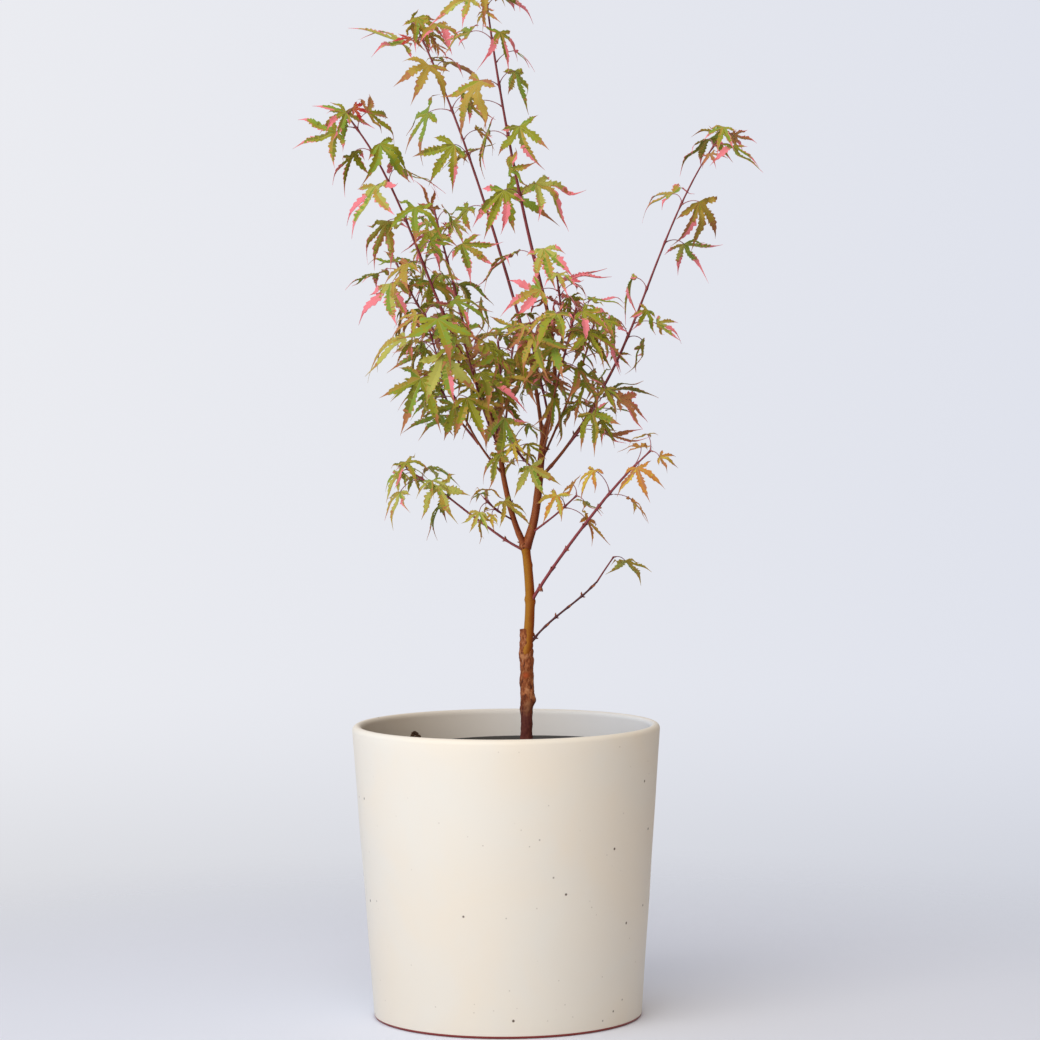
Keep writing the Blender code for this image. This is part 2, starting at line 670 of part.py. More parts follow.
def make_mass(mass, stem, radii, twigs, leaves, collection):
    """Stem, twigs, stalks and blades fused into one solid."""
    parts = new_collection("parts of " + mass.name)
    for twig in twigs:
        new_object("twig", stalk_mesh(twig, TWIG_RADIUS, STALK_RADIUS), parts)
    for leaf in leaves:
        new_object("stalk", stalk_mesh(leaf["path"], STALK_RADIUS, STALK_TIP_RADIUS), parts)
    new_object("blades", blade_mesh(leaves), parts)
    colour = LEAF_ORANGE if mass.name == "leaves_lower_right" else LEAF_GREEN
    coat = material("foliage of " + mass.name, colour, 0.5)
    obj = new_object(mass.name, rod_mesh(mass.name, stem, radii, 0), collection, coat)
    fuse(obj, parts)


def main():
    clear_scene()
    collection = new_collection("potted maple")
    cutters = new_collection("cutters")
    make_planter(collection)
    make_liner(collection)
    make_soil(collection)
    make_trunk(collection)
    rods = limb_rods()
    make_limbs(rods, collection, cutters)
    stems = [stem_rod(mass, rods) for mass in MASSES]
    standing = [(rod_tree(path, radii), path[len(path) // 2], (path[-1] - path[0]).length)
                for path, radii in [*rods.values(), *stems]]
    for mass, (stem, radii) in zip(MASSES, stems):
        twigs, leaves = grow(mass, stem, standing)
        make_mass(mass, stem, radii, twigs, leaves, collection)
        print(mass.name, len(twigs), "twigs", len(leaves), "leaves")


main()
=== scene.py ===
# %% [markdown]
# # A young Japanese maple in a stoneware planter
#
# The real object is a grafted maple about two feet tall, airy and upright. Its leaves are green with pink
# edges, and it stands in a black nursery pot inside a tall cream planter.
#
# The solid model gives every size and place. This lesson loads it, keeps its frame, and replaces each plain
# solid by a finished piece that stands in the same place: a thrown and glazed pot, rough and smooth bark,
# and leaves with lobes, teeth and ribs.

import json
import math
import random
import typing

import bmesh
import bpy
from mathutils import Matrix, Vector, noise
from mathutils.bvhtree import BVHTree

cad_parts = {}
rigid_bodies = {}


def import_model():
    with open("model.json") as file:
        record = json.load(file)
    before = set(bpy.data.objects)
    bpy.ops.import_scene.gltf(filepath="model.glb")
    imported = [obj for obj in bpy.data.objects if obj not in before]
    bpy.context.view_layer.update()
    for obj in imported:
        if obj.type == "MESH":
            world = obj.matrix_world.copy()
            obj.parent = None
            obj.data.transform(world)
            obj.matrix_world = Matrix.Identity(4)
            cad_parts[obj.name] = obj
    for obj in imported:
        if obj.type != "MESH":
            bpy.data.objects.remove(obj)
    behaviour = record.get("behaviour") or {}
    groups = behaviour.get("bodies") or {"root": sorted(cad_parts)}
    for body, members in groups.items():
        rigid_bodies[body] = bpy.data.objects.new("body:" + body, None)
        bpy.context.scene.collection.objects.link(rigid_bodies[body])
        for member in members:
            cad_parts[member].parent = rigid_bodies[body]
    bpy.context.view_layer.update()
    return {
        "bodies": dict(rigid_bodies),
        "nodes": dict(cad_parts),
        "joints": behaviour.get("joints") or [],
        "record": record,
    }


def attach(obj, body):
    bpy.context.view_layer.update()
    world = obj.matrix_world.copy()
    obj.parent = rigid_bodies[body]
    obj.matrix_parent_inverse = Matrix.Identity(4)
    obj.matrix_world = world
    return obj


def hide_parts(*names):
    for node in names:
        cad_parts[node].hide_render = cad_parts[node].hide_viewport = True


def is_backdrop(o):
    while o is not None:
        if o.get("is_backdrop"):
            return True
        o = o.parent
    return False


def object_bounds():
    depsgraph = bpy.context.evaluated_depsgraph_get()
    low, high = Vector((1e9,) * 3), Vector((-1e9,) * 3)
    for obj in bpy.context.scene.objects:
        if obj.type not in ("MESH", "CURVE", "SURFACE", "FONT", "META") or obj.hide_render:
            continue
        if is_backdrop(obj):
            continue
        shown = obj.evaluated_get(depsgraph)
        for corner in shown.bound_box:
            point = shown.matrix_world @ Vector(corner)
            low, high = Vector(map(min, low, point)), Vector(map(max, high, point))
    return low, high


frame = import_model()
MM = 0.001

# %% [markdown]
# ## Helpers for colours, nodes and meshes
#
# Colours are written as sRGB hex, as they are read off a picture, and a shader wants linear values, so one
# function turns one into the other. A second one adds any node of a material with its settings and links.

# %% Colours and nodes


def linear(colour):
    """The linear values of an sRGB hex colour."""
    values = []
    for k in (1, 3, 5):
        part = int(colour[k:k + 2], 16) / 255
        values.append(part / 12.92 if part <= 0.04045 else ((part + 0.055) / 1.055) ** 2.4)
    return (*values, 1.0)


def add(tree, kind, values=None, links=None, **settings):
    """Adds a node: settings are its own choices, values go to its sockets, links come from other nodes."""
    node = tree.nodes.new(kind)
    for name, setting in settings.items():
        setattr(node, name, setting)
    for socket, value in (values or {}).items():
        node.inputs[socket].default_value = value
    for socket, source in (links or {}).items():
        tree.links.new(source, node.inputs[socket])
    return node


def span(low, high, to_low=0.0, to_high=1.0):
    """The four values of a map range: the span that goes in and the span that comes out."""
    return {"From Min": low, "From Max": high, "To Min": to_low, "To Max": to_high}


def start_material(name, colour, roughness, specular=0.5):
    """A material with a Principled shader, its colour and roughness set."""
    made = bpy.data.materials.new(name)
    made.use_nodes = True
    shader = made.node_tree.nodes["Principled BSDF"]
    shader.inputs["Base Color"].default_value = linear(colour)
    shader.inputs["Roughness"].default_value = roughness
    shader.inputs["Specular IOR Level"].default_value = specular
    return made, made.node_tree, shader


# %% [markdown]
# ## Helpers for pieces
#
# Many pieces here are a flat grid that is bent into place: a grid rolled round a line makes a stem, and a
# grid pulled to a point makes the lobe of a leaf. Blender's grid operator makes the faces, and a function
# says where each corner goes.

# %% Bent grids and finished pieces


def bent_grid(bm, across, along_it, place, slot_of=None):
    """Adds a grid of faces and moves each corner to place(column, row). slot_of gives a face's material."""
    corners = bmesh.ops.create_grid(bm, x_segments=across, y_segments=along_it, size=1)["verts"]
    spot = {}
    for corner in corners:
        spot[corner] = round((corner.co.x + 1) / 2 * across), round((corner.co.y + 1) / 2 * along_it)
    for face in {face for corner in corners for face in corner.link_faces}:
        face.smooth = True
        if slot_of:
            face.material_index = slot_of(*(min(spot[corner][k] for corner in face.verts) for k in (0, 1)))
    for corner, (column, row) in spot.items():
        corner.co = place(column, row)


def finish_piece(name, bm, coats, nodes):
    """Makes the piece's object, lets it ride on the part and stand for its solids."""
    mesh = bpy.data.meshes.new(name)
    bm.to_mesh(mesh)
    bm.free()
    for coat in coats:
        mesh.materials.append(coat)
    piece = bpy.data.objects.new(name, mesh)
    bpy.context.scene.collection.objects.link(piece)
    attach(piece, "root")
    if nodes:
        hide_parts(*nodes)
    print(name, "has", sum(len(face.vertices) - 2 for face in mesh.polygons), "triangles")


# %% [markdown]
# ## Camera and studio
#
# The picture was taken with a long lens from a little above the planter's rim, so the trunk shows no
# perspective and the rim is a thin ellipse. The colours are shown as they are, without a film look.

# %% Camera
LENS = 126.1
CAMERA_PLACE = Vector((0.0125, -2.95, 0.546))
CAMERA_PITCH = 2.765
CAMERA_ROLL = 0.4

scene = bpy.context.scene
scene.view_settings.view_transform = "Standard"
camera_data = bpy.data.cameras.new("camera")
camera_data.lens = LENS
camera = bpy.data.objects.new("camera", camera_data)
scene.collection.objects.link(camera)
camera.matrix_world = (Matrix.Translation(CAMERA_PLACE)
                       @ Matrix.Rotation(math.radians(90 - CAMERA_PITCH), 4, "X")
                       @ Matrix.Rotation(math.radians(-CAMERA_ROLL), 4, "Z"))
scene.camera = camera
print("camera", round(CAMERA_PLACE.length, 2), "m from the planter's foot")

# %% [markdown]
# ### Backdrop and room
#
# The world holds two skies, and the Light Path node chooses between them. The camera sees the paper, a
# little paler on the left and darker low down. Every other ray sees the room. It is brighter and cooler on
# the window's side and brighter towards its ceiling, so it fills the shadows softly.

# %% Backdrop
PAPER_SIDES = (-0.15, 0.16)
PAPER_FALL = (-0.09, -0.17)
PAPER_LOW = 0.82

world = bpy.data.worlds.new("studio")
world.use_nodes = True
scene.world = world
tree = world.node_tree
backdrop = tree.nodes["Background"]
heading_of = add(tree, "ShaderNodeTexCoord")
split = add(tree, "ShaderNodeSeparateXYZ", links={"Vector": heading_of.outputs["Generated"]})
to_the_right = add(tree, "ShaderNodeMapRange", span(*PAPER_SIDES), {"Value": split.outputs["X"]})
paper = add(tree, "ShaderNodeMix", {"A": linear("#EBECF1"), "B": linear("#DFE2EC")},
            {"Factor": to_the_right.outputs["Result"]}, data_type="RGBA")
tree.links.new(paper.outputs["Result"], backdrop.inputs["Color"])
downward = add(tree, "ShaderNodeMapRange", span(*PAPER_FALL, 1.0, PAPER_LOW), {"Value": split.outputs["Z"]},
               interpolation_type="SMOOTHSTEP")
tree.links.new(downward.outputs["Result"], backdrop.inputs["Strength"])

# %% Room
ROOM_LEFT = 0.88
ROOM_RIGHT = 0.29
ROOM_RISE = 0.2

side_light = add(tree, "ShaderNodeMapRange", span(-1.0, 1.0, ROOM_LEFT, ROOM_RIGHT),
                 {"Value": split.outputs["X"]})
room = add(tree, "ShaderNodeMath", {1: ROOM_RISE}, {0: split.outputs["Z"], 2: side_light.outputs["Result"]},
           operation="MULTIPLY_ADD")
across = add(tree, "ShaderNodeMapRange", span(-1.0, 1.0), {"Value": split.outputs["X"]})
walls = add(tree, "ShaderNodeMix", {"A": linear("#DDEAFF"), "B": linear("#F3E0CA")},
            {"Factor": across.outputs["Result"]}, data_type="RGBA")
ambient = add(tree, "ShaderNodeBackground", links={"Color": walls.outputs["Result"],
                                                   "Strength": room.outputs[0]})
seen = add(tree, "ShaderNodeLightPath")
choice = add(tree, "ShaderNodeMixShader", links={"Fac": seen.outputs["Is Camera Ray"], 1: ambient.outputs[0],
                                                 2: backdrop.outputs[0]})
tree.links.new(choice.outputs[0], tree.nodes["World Output"].inputs["Surface"])
print("room light", ROOM_LEFT, "on the left and", ROOM_RIGHT, "on the right")

# %% [markdown]
# ### Window
#
# A large window gives soft shadows. An area light of the window's size does the same, where a point light
# would draw hard ones. It stands high on the left, before the object.

# %% Window light
WINDOW_PLACE = Vector((-1.12, -2.5, 2.05))
WINDOW_AIM = Vector((0, 0, 0.4))
WINDOW_SIZE = 3.6
WINDOW_POWER = 80

lamp = bpy.data.lights.new("window", "AREA")
lamp.size = WINDOW_SIZE
lamp.energy = WINDOW_POWER
lamp.color = linear("#FFFAF2")[:3]
window = bpy.data.objects.new("window", lamp)
scene.collection.objects.link(window)
window.location = WINDOW_PLACE
window.rotation_euler = (WINDOW_AIM - WINDOW_PLACE).to_track_quat("-Z", "Y").to_euler()
print("window", round((WINDOW_PLACE - WINDOW_AIM).length, 2), "m from the tree")

# %% [markdown]
# ### Floor
#
# The studio is a pale sweep of paper. A round floor stands for it, so that the object can be seen from every
# side with nothing behind it in the way. Its material turns see-through outwards, so its edge never shows.

# %% Floor
FLOOR_RADIUS = 1.15
FLOOR_FADE = (0.35, 1.0)

bm = bmesh.new()
bmesh.ops.create_circle(bm, cap_ends=True, segments=96, radius=FLOOR_RADIUS)
mesh = bpy.data.meshes.new("floor")
bm.to_mesh(mesh)
bm.free()
floor = bpy.data.objects.new("floor", mesh)
scene.collection.objects.link(floor)
floor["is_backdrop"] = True

floor_paper, tree, shader = start_material("matte paper sweep", "#E6EAF4", 0.9, 0.1)
place = add(tree, "ShaderNodeTexCoord")
from_centre = add(tree, "ShaderNodeVectorMath", links={0: place.outputs["Object"]}, operation="LENGTH")
fade = add(tree, "ShaderNodeMapRange", span(*FLOOR_FADE), {"Value": from_centre.outputs["Value"]},
           interpolation_type="SMOOTHSTEP")
clear = add(tree, "ShaderNodeBsdfTransparent")
soft_edge = add(tree, "ShaderNodeMixShader", links={"Fac": fade.outputs["Result"], 1: shader.outputs[0],
                                                    2: clear.outputs[0]})
tree.links.new(soft_edge.outputs[0], tree.nodes["Material Output"].inputs["Surface"])
mesh.materials.append(floor_paper)
print("floor", 2 * FLOOR_RADIUS, "m across")

# %% [markdown]
# ## The planter
#
# A potter throws this shape on a wheel: a straight wall that widens to the rim, a round lip, and a flat
# foot that is left without glaze. A profile spun round the axis gives it, with many more steps than the
# solid has. The wall gets a very slight wander, since a thrown wall is never quite true.

# %% Turned shells


def arc(centre_radius, centre_height, size, start, end, steps):
    """Profile points on a round edge, by angle in degrees from the outward direction."""
    points = []
    for k in range(steps + 1):
        angle = math.radians(start + (end - start) * k / steps)
        points.append((centre_radius + size * math.cos(angle), centre_height + size * math.sin(angle)))
    return points


def between(start, end, steps):
    """Profile points between two others."""
    return [tuple(a + (b - a) * k / steps for a, b in zip(start, end)) for k in range(1, steps)]


def spun(profile, steps):
    """A turned shell: the profile is spun once round the upright axis and its seam and poles are closed."""
    bm = bmesh.new()
    corners = [bm.verts.new((radius, 0, height)) for radius, height in profile]
    edges = [bm.edges.new(pair) for pair in zip(corners, corners[1:])]
    bmesh.ops.spin(bm, geom=corners + edges, axis=(0, 0, 1), cent=(0, 0, 0), steps=steps, angle=2 * math.pi,
                   use_merge=True)
    bmesh.ops.remove_doubles(bm, verts=bm.verts, dist=1e-6)
    bmesh.ops.recalc_face_normals(bm, faces=bm.faces)
    for face in bm.faces:
        face.smooth = True
    return bm


# %% Planter wall
PLANTER_HEIGHT = 238 * MM
PLANTER_FOOT_RADIUS = 109 * MM
PLANTER_RIM_RADIUS = 125 * MM
PLANTER_WALL = 8 * MM
PLANTER_FLOOR = 10 * MM
FOOT_ROUND = 2 * MM
INNER_CORNER = 4 * MM
WALL_WANDER = 0.5 * MM
WALL_WAVES = Vector((9, 9, 16))

lip = PLANTER_WALL / 2
foot = arc(PLANTER_FOOT_RADIUS - FOOT_ROUND, FOOT_ROUND, FOOT_ROUND, -90, 0, 5)
rim = arc(PLANTER_RIM_RADIUS - lip, PLANTER_HEIGHT - lip, lip, 0, 180, 10)
inner_foot = (PLANTER_FOOT_RADIUS - PLANTER_WALL, PLANTER_FLOOR + INNER_CORNER)
profile = [(0, 0), *between((0, 0), foot[0], 6), *foot, *between(foot[-1], rim[0], 26), *rim,
           *between(rim[-1], inner_foot, 22), inner_foot, (inner_foot[0] - INNER_CORNER, PLANTER_FLOOR),
           (0, PLANTER_FLOOR)]
planter_mesh = spun(profile, 144)
for corner in planter_mesh.verts:
    height = corner.co.z / PLANTER_HEIGHT
    flat = Vector((corner.co.x, corner.co.y, 0))
    wobble = noise.noise(corner.co * WALL_WAVES) * WALL_WANDER
    corner.co += flat.normalized() * wobble * math.sin(math.pi * min(1, max(0, height)))
print("planter profile", len(profile), "points")

# %% [markdown]
# ### Its glaze
#
# Stoneware fired with a matte white glaze over clay that holds iron. The iron melts through as small dark
# specks, about 2 mm across and a few centimetres apart, and as many faint ones. The glaze pools a little
# unevenly, which gives a soft drift from cream to grey. Its colour is darker towards the foot, as painted
# shade, and lighter towards the rim, as painted light, and the bare foot shows dark red clay.
#
# Specks could be small meshes, but a Voronoi texture scatters them on any surface for nothing: a small
# distance to its nearest point is a speck.

# %% Specked glaze
FOOT_LINE = 2.2 * MM
DRIFTS_PER_METRE = 11.0
BIG_SPECKS_APART = 21 * MM
BIG_SPECK = 2.1 * MM
SMALL_SPECKS_APART = 11 * MM
SMALL_SPECK = 1.0 * MM
SMALL_SPECK_SHOWS = 0.45


def specks(tree, place, spacing, size, blur):
    """A factor that is 1 inside small round spots scattered at the given spacing, all in metres."""
    scatter = add(tree, "ShaderNodeTexVoronoi", {"Scale": 1 / spacing}, {"Vector": place})
    edge = size / 2 / spacing
    return add(tree, "ShaderNodeMapRange", span(edge * (1 - blur), edge * (1 + blur), 1.0, 0.0),
               {"Value": scatter.outputs["Distance"]}).outputs["Result"]


glaze, tree, shader = start_material("matte cream stoneware glaze", "#EAE4DA", 0.45, 0.4)
coordinates = add(tree, "ShaderNodeTexCoord")
place = coordinates.outputs["Object"]
drift = add(tree, "ShaderNodeTexNoise", {"Scale": DRIFTS_PER_METRE, "Detail": 4.0, "Distortion": 0.6},
            {"Vector": place})
pooled = add(tree, "ShaderNodeMix", {"A": linear("#F1E2CB"), "B": linear("#E7E6DF")},
             {"Factor": drift.outputs["Fac"]}, data_type="RGBA")
big = specks(tree, place, BIG_SPECKS_APART, BIG_SPECK, 0.3)
with_big = add(tree, "ShaderNodeMix", {"B": linear("#5A4638")},
               {"Factor": big, "A": pooled.outputs["Result"]}, data_type="RGBA")
small = specks(tree, place, SMALL_SPECKS_APART, SMALL_SPECK, 0.6)
faint = add(tree, "ShaderNodeMath", {1: SMALL_SPECK_SHOWS}, {0: small}, operation="MULTIPLY")
with_small = add(tree, "ShaderNodeMix", {"B": linear("#8F7B66")},
                 {"Factor": faint.outputs[0], "A": with_big.outputs["Result"]}, data_type="RGBA")
split = add(tree, "ShaderNodeSeparateXYZ", links={"Vector": place})
bare = add(tree, "ShaderNodeMath", {1: FOOT_LINE}, {0: split.outputs["Z"]}, operation="LESS_THAN")
coloured = add(tree, "ShaderNodeMix", {"B": linear("#8A3430")},
               {"Factor": bare.outputs[0], "A": with_small.outputs["Result"]}, data_type="RGBA")
print("specks", round(BIG_SPECKS_APART / MM), "and", round(SMALL_SPECKS_APART / MM), "mm apart")

# %% [markdown]
# ### Painted shade inside
#
# Inside the pot the glaze is painted greyer, as painted shade in the hollow. This painted shade is browner
# and darker on the left, where the rim shades it, and turns to painted light, paler and whiter, on the right.
# One material does both sides of the wall: where the surface faces the axis, its direction and its place
# point opposite ways, which a dot product tells.

# %% Painted shade inside and towards the foot
# The painted shade inside: where a surface counts as facing the axis, how much of the shade shows, and the
# width over which it turns from dark on the left to light on the right.
FACES_IN = (0.02, -0.1)
INSIDE_SHADE_SHOWS = 0.75
SHADE_TO_LIGHT_ACROSS = 90 * MM
# Painted shade towards the foot and painted light towards the rim, as factors on the glaze's colour.
SHADE_AT_FOOT = 0.9
LIGHT_AT_RIM = 1.07
TOOTH_PER_METRE = 900.0

outward = add(tree, "ShaderNodeVectorMath", {1: (1, 1, 0)}, {0: place}, operation="MULTIPLY")
faces_out = add(tree, "ShaderNodeVectorMath", operation="DOT_PRODUCT",
                links={0: outward.outputs["Vector"], 1: coordinates.outputs["Normal"]})
painted_inside_mask = add(tree, "ShaderNodeMapRange", span(*FACES_IN, 0.0, INSIDE_SHADE_SHOWS),
             {"Value": faces_out.outputs["Value"]})
# Painted shade and painted light inside: darker and browner on the left, paler on the right.
shade_to_light = add(tree, "ShaderNodeMapRange", span(-SHADE_TO_LIGHT_ACROSS, SHADE_TO_LIGHT_ACROSS), {"Value": split.outputs["X"]})
painted_inside_shade = add(tree, "ShaderNodeMix", {"A": linear("#B9AFA2"), "B": linear("#DDE0E4")},
            {"Factor": shade_to_light.outputs["Result"]}, data_type="RGBA")
with_inside_shade = add(tree, "ShaderNodeMix", links={"Factor": painted_inside_mask.outputs["Result"], "A": coloured.outputs["Result"],
                                          "B": painted_inside_shade.outputs["Result"]}, data_type="RGBA")
# Painted shade and light by height: the glaze's colour is darker at the foot and lighter at the rim.
painted_shade_by_height = add(tree, "ShaderNodeMapRange", span(0.0, PLANTER_HEIGHT, SHADE_AT_FOOT, LIGHT_AT_RIM),
              {"Value": split.outputs["Z"]})
shaded = add(tree, "ShaderNodeVectorMath", operation="SCALE",
             links={0: with_inside_shade.outputs["Result"], "Scale": painted_shade_by_height.outputs["Result"]})
tree.links.new(shaded.outputs["Vector"], shader.inputs["Base Color"])
# The fine tooth of a matte glaze is 0.1 mm and wouldn't show, so it is drawn at about 1 mm.
tooth = add(tree, "ShaderNodeTexNoise", {"Scale": TOOTH_PER_METRE, "Detail": 2.0}, {"Vector": place})
relief = add(tree, "ShaderNodeBump", {"Strength": 0.06, "Distance": 0.4 * MM},
             {"Height": tooth.outputs["Fac"]})
tree.links.new(relief.outputs["Normal"], shader.inputs["Normal"])

finish_piece("planter_glazed", planter_mesh, [glaze], ["planter"])

# %% [markdown]
# ## The nursery pot
#
# The tree still stands in the thin black pot that it was grown in, dropped into the planter a little to the
# right. It is moulded polypropylene: a tapered cup with a rolled lip, semi-matte, with a fine even grain.

# %% Nursery pot
LINER_CENTRE_X = 16 * MM
LINER_TOP = 217.8 * MM
LINER_TOP_RADIUS = 95 * MM
LINER_BASE_RADIUS = 79 * MM
LINER_FOOT_ROUND = 2 * MM
LINER_WALL = 1.5 * MM
LINER_LIP = 2.5 * MM
LIP_DEPTH = 4 * MM
LIP_ROUND = 0.8 * MM
SEAT_GAP = 0.3 * MM
GRAIN_PER_METRE = 1250.0

low = PLANTER_FLOOR + SEAT_GAP
edge = arc(LINER_TOP_RADIUS + LINER_LIP - LIP_ROUND, LINER_TOP - LIP_ROUND, LIP_ROUND, 0, 90, 4)
wall_low = (LINER_BASE_RADIUS, low + LINER_FOOT_ROUND)
wall_high = (LINER_TOP_RADIUS, LINER_TOP - LIP_DEPTH)
profile = [(0, low), (LINER_BASE_RADIUS - LINER_FOOT_ROUND, low), wall_low, *between(wall_low, wall_high, 14),
           wall_high, (LINER_TOP_RADIUS + LINER_LIP, LINER_TOP - LIP_DEPTH), *edge,
           (LINER_TOP_RADIUS - LINER_WALL, LINER_TOP), (LINER_BASE_RADIUS - LINER_WALL, low + LINER_WALL),
           (0, low + LINER_WALL)]
liner_mesh = spun(profile, 120)
bmesh.ops.translate(liner_mesh, verts=liner_mesh.verts, vec=(LINER_CENTRE_X, 0, 0))

plastic, tree, shader = start_material("moulded black polypropylene", "#454341", 0.48)
place = add(tree, "ShaderNodeTexCoord").outputs["Object"]
# Its real grain is about 0.2 mm and is drawn at 0.8 mm.
grain = add(tree, "ShaderNodeTexNoise", {"Scale": GRAIN_PER_METRE}, {"Vector": place})
relief = add(tree, "ShaderNodeBump", {"Strength": 0.15, "Distance": 0.2 * MM},
             {"Height": grain.outputs["Fac"]})
tree.links.new(relief.outputs["Normal"], shader.inputs["Normal"])
finish_piece("nursery_pot_moulded", liner_mesh, [plastic], ["nursery_pot"])

# %% [markdown]
# ## The soil
#
# Potting mix is bark, peat and grit: a dark crumbly bed that is never level. The bed is a spun disc whose top
# is raised and lowered by noise of three sizes, with a low mound round the trunk.

# %% Soil bed
SOIL_TOP = 214 * MM
SOIL_LOW = 12.1 * MM
SOIL_LOW_RADIUS = 76.8 * MM
SOIL_TOP_RADIUS = 91.8 * MM
# How many waves go to a metre, and how high they rise, in millimetres.
SOIL_WAVES = ((26, 2.2), (90, 1.3), (330, 0.7))
MOUND_HEIGHT = 2.0 * MM
MOUND_RADIUS = 20 * MM
BITS_PER_METRE = 380.0


def soil_height(x, y):
    """How far the bed's surface stands above its mean height."""
    spot = Vector((x, y, 0))
    rise = sum(noise.noise(spot * rate) * height * MM for rate, height in SOIL_WAVES)
    mound = MOUND_HEIGHT * math.exp(-((x - LINER_CENTRE_X) ** 2 + y * y) / MOUND_RADIUS ** 2)
    return rise + mound


profile = [(0, SOIL_LOW), (SOIL_LOW_RADIUS, SOIL_LOW), (SOIL_TOP_RADIUS, SOIL_TOP),
           *between((SOIL_TOP_RADIUS, SOIL_TOP), (0, SOIL_TOP), 70), (0, SOIL_TOP)]
soil_mesh = spun(profile, 160)
bmesh.ops.translate(soil_mesh, verts=soil_mesh.verts, vec=(LINER_CENTRE_X, 0, 0))
for corner in soil_mesh.verts:
    if corner.co.z > SOIL_TOP - 1 * MM:
        corner.co.z += soil_height(corner.co.x, corner.co.y)

potting, tree, shader = start_material("damp bark and peat potting mix", "#3A2A20", 0.95, 0.2)
place = add(tree, "ShaderNodeTexCoord").outputs["Object"]
# Bits of 2 to 3 mm, each in its own brown.
bits = add(tree, "ShaderNodeTexVoronoi", {"Scale": BITS_PER_METRE}, {"Vector": place})
browns = add(tree, "ShaderNodeMix", {"A": linear("#2A1D16"), "B": linear("#5C4331")},
             {"Factor": bits.outputs["Color"]}, data_type="RGBA")
tree.links.new(browns.outputs["Result"], shader.inputs["Base Color"])
relief = add(tree, "ShaderNodeBump", {"Strength": 0.7, "Distance": 1.0 * MM},
             {"Height": bits.outputs["Distance"]})
tree.links.new(relief.outputs["Normal"], shader.inputs["Normal"])
finish_piece("soil_bed", soil_mesh, [potting], ["soil"])

# %% [markdown]
# ### Crumbs
#
# Loose crumbs and chips lie on the bed. Each is a ball of 20 faces, squashed and turned at random, because at
# this size only its outline shows. A few were spilt over the nursery pot's rim at the left and lie there as
# one small mound.

# %% Crumbs on the soil
CRUMBS = 420
CRUMB_SIZE = (0.7, 2.6)
CRUMB_SQUASH = ((0.7, 1.5), (0.6, 1.2), (0.4, 0.8))
SPILT_CRUMBS = 56
SPILT_SIZE = (1.3, 2.3)
SPILT_AT = Vector((-75 * MM, 30 * MM, LINER_TOP))
# Half the spilt mound's width and depth, its least and most height, and where it would fall to nothing in
# width and in depth, all in millimetres.
SPILT_HALF_WIDTH = 4.8
SPILT_HALF_DEPTH = 3.6
SPILT_HEIGHT = (0.8, 11)
SPILT_ENDS = (6.2, 6)
CRUMB_SEED = 5


def crumb(bm, dice, place, size):
    """A crumb: a ball of 20 faces, squashed and turned."""
    spread = Matrix.Diagonal((*(dice.uniform(*pair) for pair in CRUMB_SQUASH), 1))
    turn = Matrix.Rotation(dice.uniform(0, 6.3), 4, "Z") @ Matrix.Rotation(dice.gauss(0, 0.5), 4, "X")
    bmesh.ops.create_icosphere(bm, subdivisions=1, radius=size,
                               matrix=Matrix.Translation(place) @ turn @ spread)


dice = random.Random(CRUMB_SEED)
bm = bmesh.new()
for k in range(CRUMBS):
    angle = dice.uniform(0, 2 * math.pi)
    radius = (SOIL_TOP_RADIUS - 4 * MM) * math.sqrt(dice.random())
    x = LINER_CENTRE_X + radius * math.cos(angle)
    y = radius * math.sin(angle)
    crumb(bm, dice, Vector((x, y, SOIL_TOP + soil_height(x, y))), dice.uniform(*CRUMB_SIZE) * MM)
for k in range(SPILT_CRUMBS):
    side = dice.uniform(-SPILT_HALF_WIDTH, SPILT_HALF_WIDTH)
    depth = dice.uniform(-SPILT_HALF_DEPTH, SPILT_HALF_DEPTH)
    slope = (1 - (side / SPILT_ENDS[0]) ** 2) * (1 - (depth / SPILT_ENDS[1]) ** 2)
    height = dice.uniform(*SPILT_HEIGHT) * slope
    crumb(bm, dice, SPILT_AT + Vector((side, depth, height)) * MM, dice.uniform(*SPILT_SIZE) * MM)
finish_piece("soil_crumbs", bm, [potting], [])

# %% [markdown]
# ## How the tree branches
#
# The limbs and shoots are smooth curves between a few known places, worked out by the same rule as in the
# solid model, so every finished piece grows where its solid stands. A limb is given by what it grows on, its
# end, the ways it leaves and arrives, and its two radii.

# %% Lines of the limbs
ROOTSTOCK_RADIUS = 5.3 * MM
FLARE_EXTRA = 2.6 * MM
FLARE_HEIGHT = 7 * MM
ROOTSTOCK_TOP = 315 * MM
ROOTSTOCK_CUT = 0.86
SCION_START = 288 * MM
SCION_RADIUS = 3.5 * MM
SCION_TAPER = (1.25, 0.97)
FORK_HEIGHT = 384 * MM
FORK_X = 16.4 * MM
FORK_RADIUS = 4.2 * MM
TRUNK_STEP = 9 * MM
LIMB_STEP = 14 * MM
STEM_STEP = 30 * MM


class Limb(typing.NamedTuple):
    """A limb, in millimetres. A direction is its lean to the right and its swing to the back, in degrees."""

    name: str
    on: str
    at: float
    end: tuple
    out: tuple
    onto: tuple
    thick: float
    thin: float


